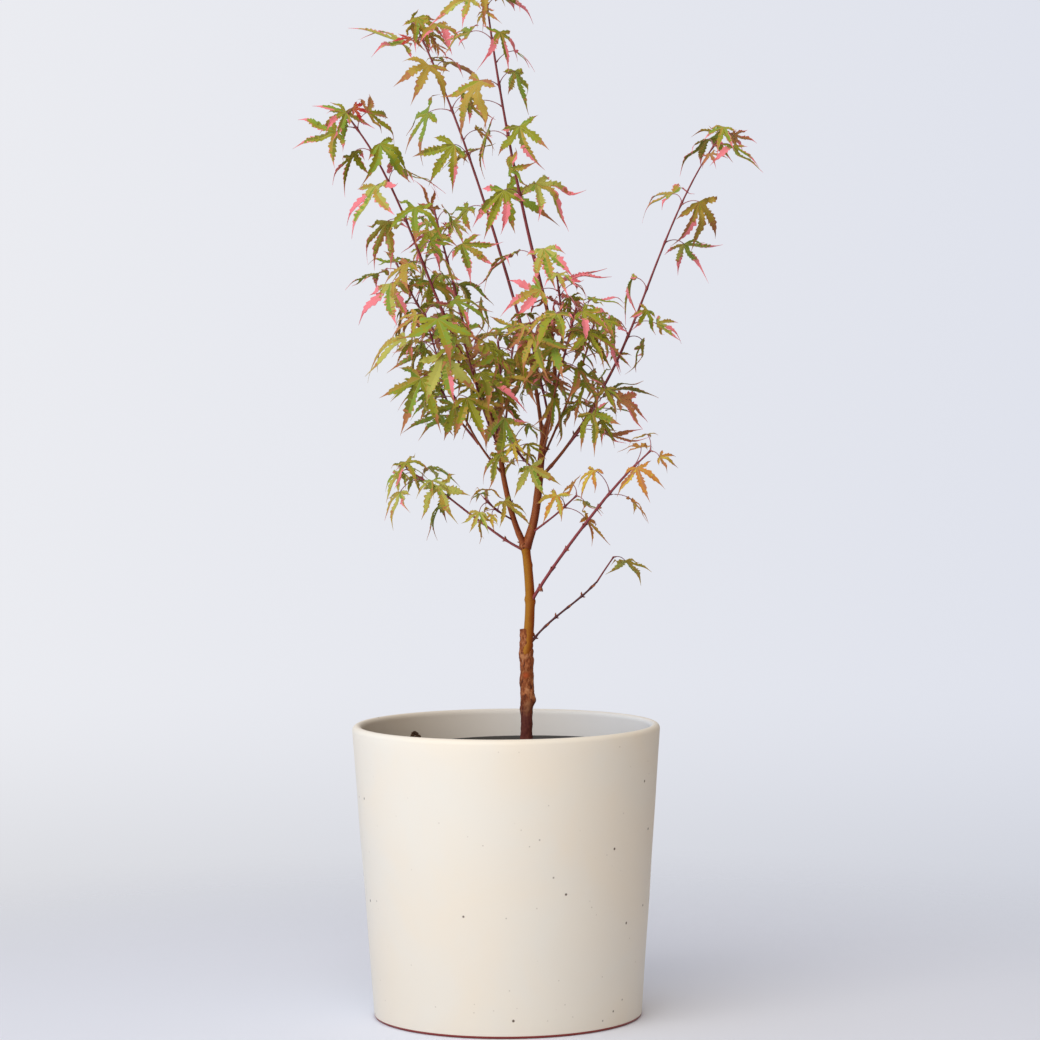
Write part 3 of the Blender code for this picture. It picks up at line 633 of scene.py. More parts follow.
LIMBS = (
    Limb("leader_right", "trunk", 381, (34, 6, 478), (24, 4), (13, 2), 3.1, 2.4),
    Limb("leader_left", "trunk", 381, (-6, -10, 477), (-27, -6), (-8, -6), 2.3, 1.8),
    Limb("bough_tall_centre", "leader_right", 478, (31, -8, 592), (20, -8), (-15, -6), 1.7, 1.4),
    Limb("bough_tall_left", "leader_right", 466, (15, 26, 560), (-6, 38), (-17, 12), 1.6, 1.3),
    Limb("bough_far_left", "leader_left", 477, (-41, -24, 555), (-19, -12), (-23, -9), 1.5, 1.2),
    Limb("bough_inner_left", "leader_left", 464, (-29, 18, 548), (-28, 40), (-13, 16), 1.3, 1.1),
    Limb("bough_low_left", "leader_left", 441, (-31, -38, 487), (-44, -34), (-26, -30), 1.4, 1.2),
    Limb("bough_right", "leader_right", 437, (78, 28, 504), (46, 16), (30, 16), 1.9, 1.5),
    Limb("bough_front", "leader_right", 456, (44, -34, 520), (18, -48), (14, -30), 1.2, 1.0),
    Limb("bough_back", "leader_left", 452, (4, 36, 512), (8, 50), (4, 34), 1.2, 1.0),
    Limb("bough_back_right", "leader_right", 449, (56, 42, 508), (24, 48), (22, 32), 1.2, 1.0),
    Limb("bough_lower_right", "trunk", 336, (80, -48, 422), (30, -22), (37, -30), 1.6, 1.3),
    Limb("bough_lowest_right", "trunk", 301, (75, 27, 351), (34, 14), (44, 18), 1.2, 1.0),
    Limb("bough_lowest_left", "trunk", 378, (-30, 21, 409), (-66, 18), (-56, 24), 1.1, 0.9),
)

# %% [markdown]
# ### Curves
#
# A limb leaves in one direction and arrives in another, so a Hermite curve suits it: it takes both ends and
# both directions and needs no points between them. The other helpers turn angles into a direction, find a
# place on a path, and let radii taper.

# %% Curves


def heading(lean, swing):
    """The direction that leans so many degrees to the right and swings so many to the back."""
    return Vector((math.sin(math.radians(lean)), math.sin(math.radians(swing)),
                   math.cos(math.radians(lean)))).normalized()


def smooth_curve(start, end, leaves, arrives, step):
    """Points of the smooth curve that leaves start and arrives at end in the given directions."""
    reach = (end - start).length
    count = max(2, round(reach / step))
    points = []
    for k in range(count + 1):
        t = k / count
        points.append(start * (2 * t**3 - 3 * t**2 + 1) + leaves * reach * (t**3 - 2 * t**2 + t)
                      + end * (3 * t**2 - 2 * t**3) + arrives * reach * (t**3 - t**2))
    return points


def at_height(path, radii, height):
    """Place, direction and radius where a rising limb passes a height."""
    k = next(k for k in range(len(path) - 1) if path[k + 1].z >= height)
    low, high = path[k], path[k + 1]
    share = (height - low.z) / (high.z - low.z)
    return low.lerp(high, share), (high - low).normalized(), radii[k] + (radii[k + 1] - radii[k]) * share


def along(path, share):
    """Place and direction at a share of a path."""
    place = share * (len(path) - 1)
    k = min(int(place), len(path) - 2)
    return path[k].lerp(path[k + 1], place - k), (path[k + 1] - path[k]).normalized()


def tapered(count, thick, thin):
    """So many radii, evenly spaced from the thick end to the thin one."""
    return [thick + (thin - thick) * k / (count - 1) for k in range(count)]


# %% [markdown]
# ### The trunk's two stems
#
# A grafted tree has two: the rootstock, cut off above the graft, and the scion that grew from its side. Each
# is a curve with a radius at every point, and so is each limb that grows on them.

# %% The trunk's two parts and the limbs


def rootstock():
    """Centre line and radii of the rootstock, from its flare at the soil to the cut of the graft."""
    foot = Vector((LINER_CENTRE_X, 0, SOIL_TOP + SEAT_GAP))
    top = Vector((FORK_X - 0.6 * MM, 0, ROOTSTOCK_TOP))
    path = smooth_curve(foot, top, heading(2, 0), heading(-4, 0), TRUNK_STEP)
    radii = [ROOTSTOCK_RADIUS + FLARE_EXTRA * math.exp(-(point.z - foot.z) / FLARE_HEIGHT) for point in path]
    radii[-1] *= ROOTSTOCK_CUT
    return path, radii


def scion():
    """Centre line and radii of the scion, from inside the graft to the fork."""
    low = Vector((FORK_X + 0.8 * MM, 0, SCION_START))
    path = smooth_curve(low, Vector((FORK_X, 0, FORK_HEIGHT)), heading(9, 0), heading(-8, 0), TRUNK_STEP)
    radii = tapered(len(path), *(SCION_RADIUS * share for share in SCION_TAPER))
    radii[-1] = FORK_RADIUS
    return path, radii


def limb_rods():
    """The centre line and radii of the scion and of each limb, by name."""
    rods = {"trunk": scion()}
    for limb in LIMBS:
        start = at_height(*rods[limb.on], limb.at * MM)[0]
        path = smooth_curve(start, Vector(limb.end) * MM, heading(*limb.out), heading(*limb.onto), LIMB_STEP)
        rods[limb.name] = path, tapered(len(path), limb.thick * MM, limb.thin * MM)
    return rods


rods = limb_rods()
print("limbs:", len(LIMBS), "tallest ends at", round(max(limb.end[2] for limb in LIMBS)), "mm")

# %% [markdown]
# ## How the shoots and leaves grow
#
# A maple's leaves stand in pairs, and each pair is turned a quarter from the one below. Each mass of foliage
# is one shoot: it carries its bough on, and a seeded rule sets its pairs, turns each leaf to the light, lets
# an old leaf hang and a young one spread, and skips a leaf that has no room. The numbers are the ones that
# the solids were grown with, so the same leaves come out.

# %% The foliage masses


class Mass(typing.NamedTuple):
    """A foliage mass: its stem, and what the growth rule puts on it. Lengths are in millimetres."""

    name: str
    on: str
    tip: tuple
    onto: tuple
    thick: float
    thin: float
    pairs: int
    first: float
    turn: float
    blade: float
    stalk: float
    seed: int
    crown: int = 2
    twigs: float = 0.0
    lost: float = 0.0
    at: float = 0.0
    out: tuple = ()


MASSES = (
    Mass("leaves_tall_centre", "bough_tall_centre", (-13, -26, 833), (-7, -3), 1.4, 0.7, 6, 0.1, 40, 43,
         20, 411),
    Mass("leaves_tall_left", "bough_tall_left", (-71, 66, 810), (-25, 9), 1.3, 0.7, 5, 0.38, 60, 44, 19,
         312),
    Mass("leaves_far_left", "bough_far_left", (-122, -48, 728), (-38, -6), 1.2, 0.7, 6, 0.1, 45, 43, 17,
         513),
    Mass("leaves_inner_left", "bough_inner_left", (-56, 43, 656), (-14, 10), 1.1, 0.7, 5, 0.2, 60, 37, 18,
         14, twigs=0.15),
    Mass("leaves_low_left", "bough_low_left", (-61, -76, 570), (-12, -14), 1.2, 0.7, 5, 0.2, 20, 43, 22, 15),
    Mass("leaves_right", "bough_right", (182, 70, 719), (37, 4), 1.5, 0.7, 7, 0.03, 40, 43, 21, 416,
         lost=0.3),
    Mass("leaves_front", "bough_front", (58, -72, 574), (10, -18), 1.0, 0.7, 4, 0.2, 45, 38, 19, 117),
    Mass("leaves_back", "bough_back", (8, 90, 552), (2, 26), 1.0, 0.7, 4, 0.06, 15, 38, 19, 18, lost=0.2),
    Mass("leaves_back_right", "bough_back_right", (76, 84, 566), (12, 20), 1.0, 0.7, 4, 0.06, 70, 38, 19,
         119, lost=0.35),
    Mass("leaves_lower_right", "bough_lower_right", (116, -70, 461), (46, -20), 1.3, 0.8, 2, 0.1, 80, 27,
         26, 220),
    Mass("leaves_lowest_right", "bough_lowest_right", (89, 33, 371), (50, 20), 1.0, 0.7, 0, 0.9, 0, 50, 24,
         21, crown=1),
    Mass("leaves_lowest_left", "bough_lowest_left", (-80, 42, 444), (-62, 10), 0.9, 0.6, 2, 0.35, 0, 38,
         17, 522, crown=3),
    Mass("leaves_upright", "leader_left", (-4, -50, 548), (-4, -14), 1.0, 0.7, 5, 0.25, 0, 38, 18, 23,
         lost=0.15, at=470, out=(10, -40)),
    Mass("leaves_inner_front", "leader_right", (2, -30, 472), (-30, -20), 0.9, 0.7, 2, 0.4, 30, 31, 16, 24,
         at=440, out=(-45, -35)),
    Mass("leaves_pink", "bough_tall_centre", (43, -40, 602), (-4, -20), 1.0, 0.7, 5, 0.3, 60, 38, 15, 225,
         lost=0.1, at=530, out=(28, -36)),
    Mass("leaves_centre", "bough_tall_centre", (22, -66, 562), (0, -22), 1.0, 0.7, 5, 0.25, 20, 38, 18, 128,
         lost=0.15, at=486, out=(-8, -42)),
    Mass("leaves_mid_left", "bough_far_left", (-86, 2, 612), (-24, 10), 1.0, 0.7, 5, 0.3, 50, 42, 18, 829,
         lost=0.15, at=520, out=(-46, 30)),
    Mass("leaves_mid_low", "bough_low_left", (-56, -22, 522), (-30, 12), 1.0, 0.7, 2, 0.45, 30, 38, 18, 32,
         at=466, out=(-50, 20)),
    Mass("leaves_mid_front", "leader_left", (-30, -84, 546), (-16, -24), 1.0, 0.7, 4, 0.35, 10, 40, 18, 30,
         lost=0.1, at=462, out=(-24, -46)),
    Mass("leaves_mid_right", "bough_right", (80, -28, 512), (24, -24), 1.0, 0.7, 3, 0.35, 65, 36, 18, 531,
         at=464, out=(46, -40)),
    Mass("leaves_fork_right", "leader_right", (58, -26, 424), (44, -16), 0.9, 0.7, 1, 0.7, 80, 31, 16, 426,
         at=392, out=(52, -30)),
    Mass("leaves_fork_left", "leader_left", (-16, -20, 422), (-40, -20), 0.8, 0.7, 2, 0.5, 80, 27, 14, 227,
         crown=0, at=403, out=(-60, -35)),
)

# %% [markdown]
# ### Numbers of the rule
#
# The rule needs the proportions of a leaf, how far a pair's leaves stand apart, and how much chance adds to
# each. A number with a name can be changed in one place, and the whole tree grows anew from it.

# %% Numbers of the growth rule
# Each lobe's angle from the midrib, in degrees, and its length for a middle lobe of 1.
LOBES = ((-112, 0.46), (-53, 0.88), (0, 1.0), (53, 0.88), (112, 0.46))
LOBE_WANDER = 7
LOBE_SPREAD = (0.62, 1.0)
SINUS = 0.22
LEAF_BACK = 0.06
LEAF_CROWN = 0.06
STALK_RADIUS = 0.55 * MM
STALK_STEPS = 2
FREE_STALK = 0.6
PAIR_SHIFT = 0.8 * MM
PAIR_TURN = 90
NODE_CLOSING = 1.45
YOUNG_FROM = 0.55
YOUNG_SHRINK = 0.2
CROWN_BLADE = 0.7
CROWN_STALK = 0.5
CROWN_TURN = 45
TRIES = 10
LEAF_CLEARANCE = 1.5 * MM
SPACE_REACH = 76 * MM
TWIG_LENGTH = 24 * MM
TWIG_RADIUS = 0.65 * MM
FREE_TWIG = 0.4
TWIG_BLADE = 0.85
TWIG_FAN = (-60, 60, 180)
TURN_WANDER = 14
TRY_TURN = 9

# %% [markdown]
# ### Stance of a leaf
#
# A maple leaf turns its upper side to the light and a little outwards. An old one lets its midrib hang, and a
# young one holds it nearly level.

# %% Stance of a leaf
# What its upper side and its midrib turn to, on an old leaf and how much more on a young one.
TO_LIGHT = Vector((-0.25, -0.85, 0.46))
LEVEL_RISE = 0.15
FACE_LIGHT = 0.5
FACE_OUT = 0.6
FACE_UP = (0.15, 0.6)
FACE_WANDER = 0.4
HANG_OUT = (0.4, 0.65)
HANG_DOWN = (0.95, -0.8)
HANG_WANDER = 0.22
STALK_ARCH = 0.42
STALK_END = (0.35, 0.92)

# Least and most of what the dice give a leaf.
BLADE_RANGE = (0.84, 1.14)
STALK_RANGE = (0.75, 1.3)
LOBE_RANGE = (0.86, 1.1)
LEAF_DROOP = (0.02, 0.2)
LOBE_DROOP = (-0.06, 0.1)
TWIG_RANGE = (0.8, 1.2)

# %% [markdown]
# ### Stems
#
# A shoot either carries its bough on or leaves it from the side. One that leaves from the side starts just
# outside the bark, so its start depends on the limb's radius there and on the angle between the two.

# %% Stems


def stem_rod(mass, rods):
    """Centre line and radii of a mass's stem, just clear of the limb that it grows on."""
    path, radii = rods[mass.on]
    if mass.at:
        centre, limb_way, radius = at_height(path, radii, mass.at * MM)
        way = heading(*mass.out)
        spread = way.angle(limb_way)
        stand_off = radius + SEAT_GAP + mass.thick * MM * math.cos(spread)
        start = centre + way * stand_off / math.sin(spread)
    else:
        way = (path[-1] - path[-2]).normalized()
        start = path[-1] + way * SEAT_GAP
    stem = smooth_curve(start, Vector(mass.tip) * MM, way, heading(*mass.onto), STEM_STEP)
    return stem, tapered(len(stem), mass.thick * MM, mass.thin * MM)


# %% [markdown]
# ### One leaf
#
# A leaf is a stalk, a frame and five lobes. The frame is a matrix: its Y axis is the midrib and its Z axis
# the upper side, so a blade can be drawn flat and then set in place.

# %% One leaf


def leaf_outline(lobes, length):
    """Outline of a blade, its stalk at the origin, its midrib along +Y and its upper side to +Z."""
    points = []
    for k, (angle, share, droop) in enumerate(lobes):
        corners = [(angle, share)]
        if k:
            corners.insert(0, ((angle + lobes[k - 1][0]) / 2, SINUS))
        for turn, reach in corners:
            points.append((turn, reach, droop))
    points.append((180, LEAF_BACK, 0))
    return [Vector((math.sin(math.radians(turn)) * reach, math.cos(math.radians(turn)) * reach,
                    -droop * reach**2)) * length for turn, reach, droop in points]


def arch(foot, way, out, length):
    """The path of a leaf stalk: up along the stem at first, then outwards."""
    middle = foot + (way + out) * STALK_ARCH * length
    end = foot + (way * STALK_END[0] + out * STALK_END[1]) * length
    return [foot * (1 - t)**2 + middle * 2 * t * (1 - t) + end * t**2
            for t in (k / STALK_STEPS for k in range(STALK_STEPS + 1))]


def wander(dice, size):
    """A small random step in any direction."""
    return Vector((dice.gauss(0, size), dice.gauss(0, size), dice.gauss(0, size)))


def sideways(way, turn):
    """The direction square to a stem, turned round it by an angle in degrees from the right."""
    right = Vector((1, 0, 0)) - way * way.x
    return Matrix.Rotation(math.radians(turn), 3, way) @ right.normalized()


def new_leaf(dice, foot, way, turn, length, stalk, youth):
    """One leaf: its stalk's path, its blade's frame and outline. A young one stands up, an old one hangs."""
    out = sideways(way, turn)
    path = arch(foot, way, out, stalk)
    level = Vector((out.x, out.y, LEVEL_RISE)).normalized()
    up = FACE_UP[0] + FACE_UP[1] * youth
    face = TO_LIGHT * FACE_LIGHT + level * FACE_OUT + Vector((0, 0, up)) + wander(dice, FACE_WANDER)
    down = HANG_DOWN[0] + HANG_DOWN[1] * youth
    fall = level * (HANG_OUT[0] + HANG_OUT[1] * youth) - Vector((0, 0, down)) + wander(dice, HANG_WANDER)
    midrib = (fall - face * fall.dot(face) / face.length_squared).normalized()
    side = midrib.cross(face).normalized()
    frame = Matrix((side, midrib, side.cross(midrib))).transposed().to_4x4()
    frame.translation = path[-1]
    droop = dice.uniform(*LEAF_DROOP)
    spread = dice.uniform(*LOBE_SPREAD)
    lobes = [(angle * spread + dice.uniform(-LOBE_WANDER, LOBE_WANDER), share * dice.uniform(*LOBE_RANGE),
              droop + dice.uniform(*LOBE_DROOP)) for angle, share in LOBES]
    return {"path": path, "frame": frame, "length": length, "lobes": lobes, "youth": youth,
            "rim": [frame @ point for point in leaf_outline(lobes, length)],
            "crown": frame @ Vector((0, LEAF_CROWN * length, 0))}


# %% [markdown]
# ### Room for a leaf
#
# Leaves in a real crown don't grow through each other. A search tree holds the faces of a shape and tells
# quickly what lies near, so every new leaf can be tried against all that stand already.

# %% Room for a leaf


def search_tree(leaf):
    """The blade and the outer part of its stalk as a search tree, and places spread over them."""
    path, rim = leaf["path"], leaf["rim"]
    flat = Vector((0, 0, STALK_RADIUS))
    stalk = [path[0].lerp(path[1], FREE_STALK), *path[1:]]
    points = [leaf["crown"], *rim]
    faces = [(0, k, k % len(rim) + 1) for k in range(1, len(rim) + 1)]
    for low, high in zip(stalk, stalk[1:]):
        first = len(points)
        points += [low - flat, low + flat, high + flat, high - flat]
        faces.append((first, first + 1, first + 2, first + 3))
    places = points + [(leaf["crown"] + corner) / 2 for corner in rim]
    return BVHTree.FromPolygons(points, faces), places


def rod_tree(path, radii):
    """A limb as a search tree, four-sided."""
    points = []
    faces = []
    for k, (place, radius) in enumerate(zip(path, radii)):
        way = (path[min(k + 1, len(path) - 1)] - path[max(k - 1, 0)]).normalized()
        points += [place + sideways(way, quarter * 90) * radius for quarter in range(4)]
        if k:
            low = 4 * (k - 1)
            faces += [(low + q, low + (q + 1) % 4, low + 4 + (q + 1) % 4, low + 4 + q) for q in range(4)]
    return BVHTree.FromPolygons(points, faces)


def has_room(tree, places, standing, stem):
    """Whether a shape stays in its mass's space and clear of all that stands already."""
    if any(place.z < PLANTER_HEIGHT for place in places):
        return False
    if any(min((place - point).length for point in stem) > SPACE_REACH for place in places):
        return False
    for other, centre, reach in standing:
        if (centre - places[0]).length > reach + SPACE_REACH:
            continue
        if tree.overlap(other) or any(other.find_nearest(place, LEAF_CLEARANCE)[0] for place in places):
            return False
    return True


# %% [markdown]
# ### Setting leaves and twigs
#
# The dice belong to one mass and start from its seed, so the same tree grows every time. A leaf that finds no
# room is turned a little and tried again, and after ten tries it is left out.

# %% Setting leaves and twigs


def try_leaf(dice, leaves, standing, stem, foot, way, turn, length, stalk, youth):
    """Adds a leaf, turned a little further at each try, or skips it where none has room."""
    length *= dice.uniform(*BLADE_RANGE)
    stalk *= dice.uniform(*STALK_RANGE)
    for attempt in range(TRIES):
        azimuth = turn + dice.uniform(-TURN_WANDER, TURN_WANDER)
        azimuth += dice.uniform(-TRY_TURN, TRY_TURN) * attempt
        leaf = new_leaf(dice, foot, way, azimuth, length, stalk, youth)
        tree, places = search_tree(leaf)
        if has_room(tree, places, standing, stem):
            leaves.append(leaf)
            standing.append((tree, leaf["crown"], length))
            return


def try_twig(dice, twigs, standing, stem, foot, way, turn):
    """Adds a short side twig if it has room, and says whether it did."""
    out = sideways(way, turn)
    end = foot + (way + out).normalized() * TWIG_LENGTH * dice.uniform(*TWIG_RANGE)
    leaves, arrives = (way + out * 3).normalized(), (way * 2 + out).normalized()
    path = smooth_curve(foot, end, leaves, arrives, TWIG_LENGTH / 2)
    tree = rod_tree([path[0].lerp(path[1], FREE_TWIG), *path[1:]], [TWIG_RADIUS] * len(path))
    if not has_room(tree, path[1:], standing, stem):
        return False
    twigs.append(path)
    standing.append((tree, end, TWIG_LENGTH))
    return True


def grow(mass, stem, standing):
    """The growth rule: the side twigs and the leaves of one mass."""
    dice = random.Random(mass.seed)
    twigs = []
    leaves = []
    blade = mass.blade * MM
    stalk = mass.stalk * MM
    for k in range(mass.pairs):
        share = mass.first + (1 - mass.first) * (1 - (1 - k / mass.pairs)**NODE_CLOSING)
        youth = max(0.0, share - YOUNG_FROM) / (1 - YOUNG_FROM)
        foot, way = along(stem, share)
        size = 1 - YOUNG_SHRINK * youth**2
        for side in (1, -1):
            turn = mass.turn + PAIR_TURN * k + 90 * side
            root = foot + way * PAIR_SHIFT * side
            if dice.random() < mass.lost:
                continue
            if dice.random() < mass.twigs and try_twig(dice, twigs, standing, stem, root, way, turn):
                tip, twig_way = twigs[-1][-1], (twigs[-1][-1] - twigs[-1][-2]).normalized()
                for fan in TWIG_FAN:
                    length = blade * size * TWIG_BLADE
                    try_leaf(dice, leaves, standing, stem, tip, twig_way, turn + fan, length, stalk, youth)
            else:
                try_leaf(dice, leaves, standing, stem, root, way, turn, blade * size, stalk, youth)
    tip, way = along(stem, 1)
    for k in range(mass.crown):
        turn = mass.turn + CROWN_TURN + 360 * k / mass.crown
        try_leaf(dice, leaves, standing, stem, tip, way, turn, blade * CROWN_BLADE, stalk * CROWN_STALK, 1.0)
    return twigs, leaves


# %% [markdown]
# ### Grow every mass
#
# All the wood stands first, so that the leaves keep clear of it. The masses then grow one after another, and
# each finds the earlier ones standing.

# %% Grow every mass
stems = {mass.name: stem_rod(mass, rods) for mass in MASSES}
standing = [(rod_tree(path, radii), path[len(path) // 2], (path[-1] - path[0]).length)
            for path, radii in [*rods.values(), *stems.values()]]
grown = {mass.name: grow(mass, stems[mass.name][0], standing) for mass in MASSES}
print("leaves:", sum(len(leaves) for twigs, leaves in grown.values()))

# %% [markdown]
# ## Bark
#
# Two barks meet at the graft. The rootstock's is old: reddish brown, cracked along its length, with tan
# patches where it flaked. The scion's is young: smooth and thin, olive yellow on its left side as painted
# light, and a darker red brown as painted shade on its right side, away from the window. Shoots of this
# year are wine red. All reflect light softly, as wood does.
#
# The rootstock's material reads noise that is stretched along the stem, since cracks run that way, and a
# colour ramp turns it into dark cracks and paler ridges. Its colour is darker, a maroon, towards its foot,
# and a healing wound at the graft shows raw orange wood.

# %% Bark of the rootstock
CRACKS_PER_METRE = 620.0
CRACK_SQUEEZE = 0.33
CRACK_COLOURS = ((0.34, "#4A200E"), (0.47, "#86421C"), (0.6, "#A86438"), (0.74, "#C8967A"))
PATCHES_PER_METRE = 130.0
PATCHED = (0.56, 0.7)
# The band over which the rootstock turns darker towards its foot.
DARK_FOOT_BAND = (243 * MM, 262 * MM)
WOUND_AT = Vector((16.2, -5.5, 277.5)) * MM
WOUND_EDGE = (1.2 * MM, 3.6 * MM)
OVERLAY_STRENGTH = 0.85

old_bark, tree, shader = start_material("flaking maple bark", "#784132", 0.75, 0.3)
place = add(tree, "ShaderNodeTexCoord").outputs["Object"]
# Cracks stand 1.5 mm apart across the stem and run three times as far along it.
stretched = add(tree, "ShaderNodeMapping", {"Scale": (1.0, 1.0, CRACK_SQUEEZE)}, {"Vector": place})
cracks = add(tree, "ShaderNodeTexNoise", {"Scale": CRACKS_PER_METRE, "Detail": 5.0, "Roughness": 0.6},
             {"Vector": stretched.outputs["Vector"]})
ramp = add(tree, "ShaderNodeValToRGB", links={"Fac": cracks.outputs["Fac"]})
for k, (spot, colour) in enumerate(CRACK_COLOURS):
    stop = ramp.color_ramp.elements[k] if k < 2 else ramp.color_ramp.elements.new(spot)
    stop.position = spot
    stop.color = linear(colour)
patches = add(tree, "ShaderNodeTexNoise", {"Scale": PATCHES_PER_METRE, "Detail": 3.0}, {"Vector": place})
where = add(tree, "ShaderNodeMapRange", span(*PATCHED), {"Value": patches.outputs["Fac"]})
split = add(tree, "ShaderNodeSeparateXYZ", links={"Vector": place})
dark_foot = add(tree, "ShaderNodeMapRange", span(*DARK_FOOT_BAND, OVERLAY_STRENGTH, 0.0), {"Value": split.outputs["Z"]})
from_wound = add(tree, "ShaderNodeVectorMath", {1: WOUND_AT}, {0: place}, operation="DISTANCE")
wound = add(tree, "ShaderNodeMapRange", span(*WOUND_EDGE, OVERLAY_STRENGTH, 0.0),
            {"Value": from_wound.outputs["Value"]})
colour = ramp.outputs["Color"]
for share, overlay_colour in ((where, "#C08256"), (dark_foot, "#4C1C1E"), (wound, "#A8481A")):
    colour = add(tree, "ShaderNodeMix", {"B": linear(overlay_colour)},
                 {"Factor": share.outputs["Result"], "A": colour}, data_type="RGBA").outputs["Result"]
tree.links.new(colour, shader.inputs["Base Color"])
relief = add(tree, "ShaderNodeBump", {"Strength": 0.6, "Distance": 0.5 * MM},
             {"Height": cracks.outputs["Fac"]})
tree.links.new(relief.outputs["Normal"], shader.inputs["Normal"])
print("old bark:", len(tree.nodes), "nodes")

# %% [markdown]
# ### Young bark
#
# Smooth bark carries painted shade: it is darker and redder on its right side, away from the window, and
# paler on its left, as painted light. An attribute could be painted on for that, but the surface's own
# direction tells it already: its X value is high on the right. Some noise is added to it, so the two colours
# meet in a mottled border.

# %% Smooth barks
MOTTLES_PER_METRE = 160.0
PORES_PER_METRE = 1000.0
# The sum of noise and direction where the bark takes only its lit colour, and where only its painted shade.
SHADE_SPAN = (0.0, 1.15)


def young_bark(name, lit_side_colour, shaded_side_colour, roughness):
    """Smooth bark with painted light on its left side and painted shade, darker and redder, on +X."""
    made, tree, shader = start_material(name, shaded_side_colour, roughness, 0.25)
    coordinates = add(tree, "ShaderNodeTexCoord")
    place = coordinates.outputs["Object"]
    facing = add(tree, "ShaderNodeSeparateXYZ", links={"Vector": coordinates.outputs["Normal"]})
    mottle = add(tree, "ShaderNodeTexNoise", {"Scale": MOTTLES_PER_METRE, "Detail": 3.0}, {"Vector": place})
    both = add(tree, "ShaderNodeMath", links={0: mottle.outputs["Fac"], 1: facing.outputs["X"]},
               operation="ADD")
    shade_share = add(tree, "ShaderNodeMapRange", span(*SHADE_SPAN), {"Value": both.outputs[0]})
    mixed = add(tree, "ShaderNodeMix", {"A": linear(lit_side_colour), "B": linear(shaded_side_colour)},
                {"Factor": shade_share.outputs["Result"]}, data_type="RGBA")
    tree.links.new(mixed.outputs["Result"], shader.inputs["Base Color"])
    # Its pores are 0.3 mm and are drawn at 1 mm.
    pores = add(tree, "ShaderNodeTexNoise", {"Scale": PORES_PER_METRE, "Detail": 2.0}, {"Vector": place})
    relief = add(tree, "ShaderNodeBump", {"Strength": 0.2, "Distance": 0.2 * MM},
                 {"Height": pores.outputs["Fac"]})
    tree.links.new(relief.outputs["Normal"], shader.inputs["Normal"])
    return made


# Each bark's first colour is painted light for its left side, its second painted shade for its right side.
scion_bark = young_bark("smooth olive maple bark", "#A86E0C", "#8A3E08", 0.55)
leader_bark = young_bark("smooth red brown maple bark", "#A85C2E", "#702E16", 0.5)
bough_skin = young_bark("red brown bough bark", "#A86038", "#74362A", 0.45)
grey_bark = young_bark("weathered wine grey bark", "#74484A", "#4A2228", 0.5)
shoot_bark = young_bark("wine red shoot bark", "#98484A", "#66262E", 0.42)
stalk_skin = young_bark("pink leaf stalk skin", "#B4767A", "#8E5560", 0.45)
print("smooth bark:", len(stalk_skin.node_tree.nodes), "nodes each")

# %% [markdown]
# ## Trunk and limbs
#
# A limb is a grid rolled into a tube round its line, finely enough to carry relief: cracks and knobs on the
# rootstock, and on the young wood a swollen ring wherever a pair of leaves or buds sits or sat. Noise is
# sampled at each corner's own place, so no two spots are alike and the seam doesn't show.

# %% Tubes


def refined(path, radii, step):
    """A smooth line through the same points, with one about every step, and its radii."""
    reach = sum((b - a).length for a, b in zip(path, path[1:]))
    count = max(4, round(reach / step))
    places = []
    sizes = []
    for k in range(count + 1):
        where = k / count * (len(path) - 1)
        i = min(int(where), len(path) - 2)
        t = where - i
        before = path[i - 1] if i else path[0] * 2 - path[1]
        after = path[i + 2] if i + 2 < len(path) else path[-1] * 2 - path[-2]
        a, b = path[i], path[i + 1]
        places.append(0.5 * ((2 * a) + (b - before) * t + (2 * before - 5 * a + 4 * b - after) * t * t
                             + (3 * a - before - 3 * b + after) * t**3))
        sizes.append(radii[i] + (radii[i + 1] - radii[i]) * t)
    return places, sizes


def merge_into(bm, made):
    """Adds one bmesh to another and frees it."""
    carrier = bpy.data.meshes.new("carrier")
    made.to_mesh(carrier)
    made.free()
    bm.from_mesh(carrier)
    bpy.data.meshes.remove(carrier)


def tube(bm, path, radii, sides, relief=None, slot=0):
    """A closed tube round a path: a grid rolled up, its seam welded and its ends filled."""
    ways = [(path[min(k + 1, len(path) - 1)] - path[max(k - 1, 0)]).normalized() for k in range(len(path))]

    def place(column, row):
        out = sideways(ways[row], 360 * column / sides)
        radius = radii[row]
        if relief:
            radius += relief(path[row] + out * radius)
        return path[row] + out * radius

    rolled = bmesh.new()
    bent_grid(rolled, sides, len(path) - 1, place)
    bmesh.ops.remove_doubles(rolled, verts=rolled.verts, dist=1e-7)
    bmesh.ops.holes_fill(rolled, edges=[edge for edge in rolled.edges if edge.is_boundary], sides=0)
    bmesh.ops.recalc_face_normals(rolled, faces=rolled.faces)
    for face in rolled.faces:
        face.material_index = slot
    merge_into(bm, rolled)


# %% [markdown]
# ### Relief of the bark
#
# Relief is a small height added to a tube's radius. Sculpting would give it too, but a function of the place
# is repeatable: noise for cracks, and a soft bell curve for each knob, bud ring and scar.

# %% Relief of the bark


class Knob(typing.NamedTuple):
    """A lump on the rootstock, in millimetres: its height, the side it faces, its size and its rise."""

    height: float
    faces: float
    size: float
    stands: float


KNOBS = (Knob(257, 345, 8, 1.9), Knob(261, 270, 6, 0.8), Knob(250, 200, 7, 0.5), Knob(276, 275, 5, 0.7),
         Knob(284, 250, 5, 0.9), Knob(294, 200, 7, 1.0), Knob(290, 350, 5, 1.0), Knob(297, 5, 4, 1.0),
         Knob(268, 10, 5, 0.6), Knob(272, 130, 8, 1.2), Knob(240, 100, 8, 0.8), Knob(303, 190, 4, 0.5),
         Knob(262, 60, 7, 1.0), Knob(286, 80, 6, 0.9))
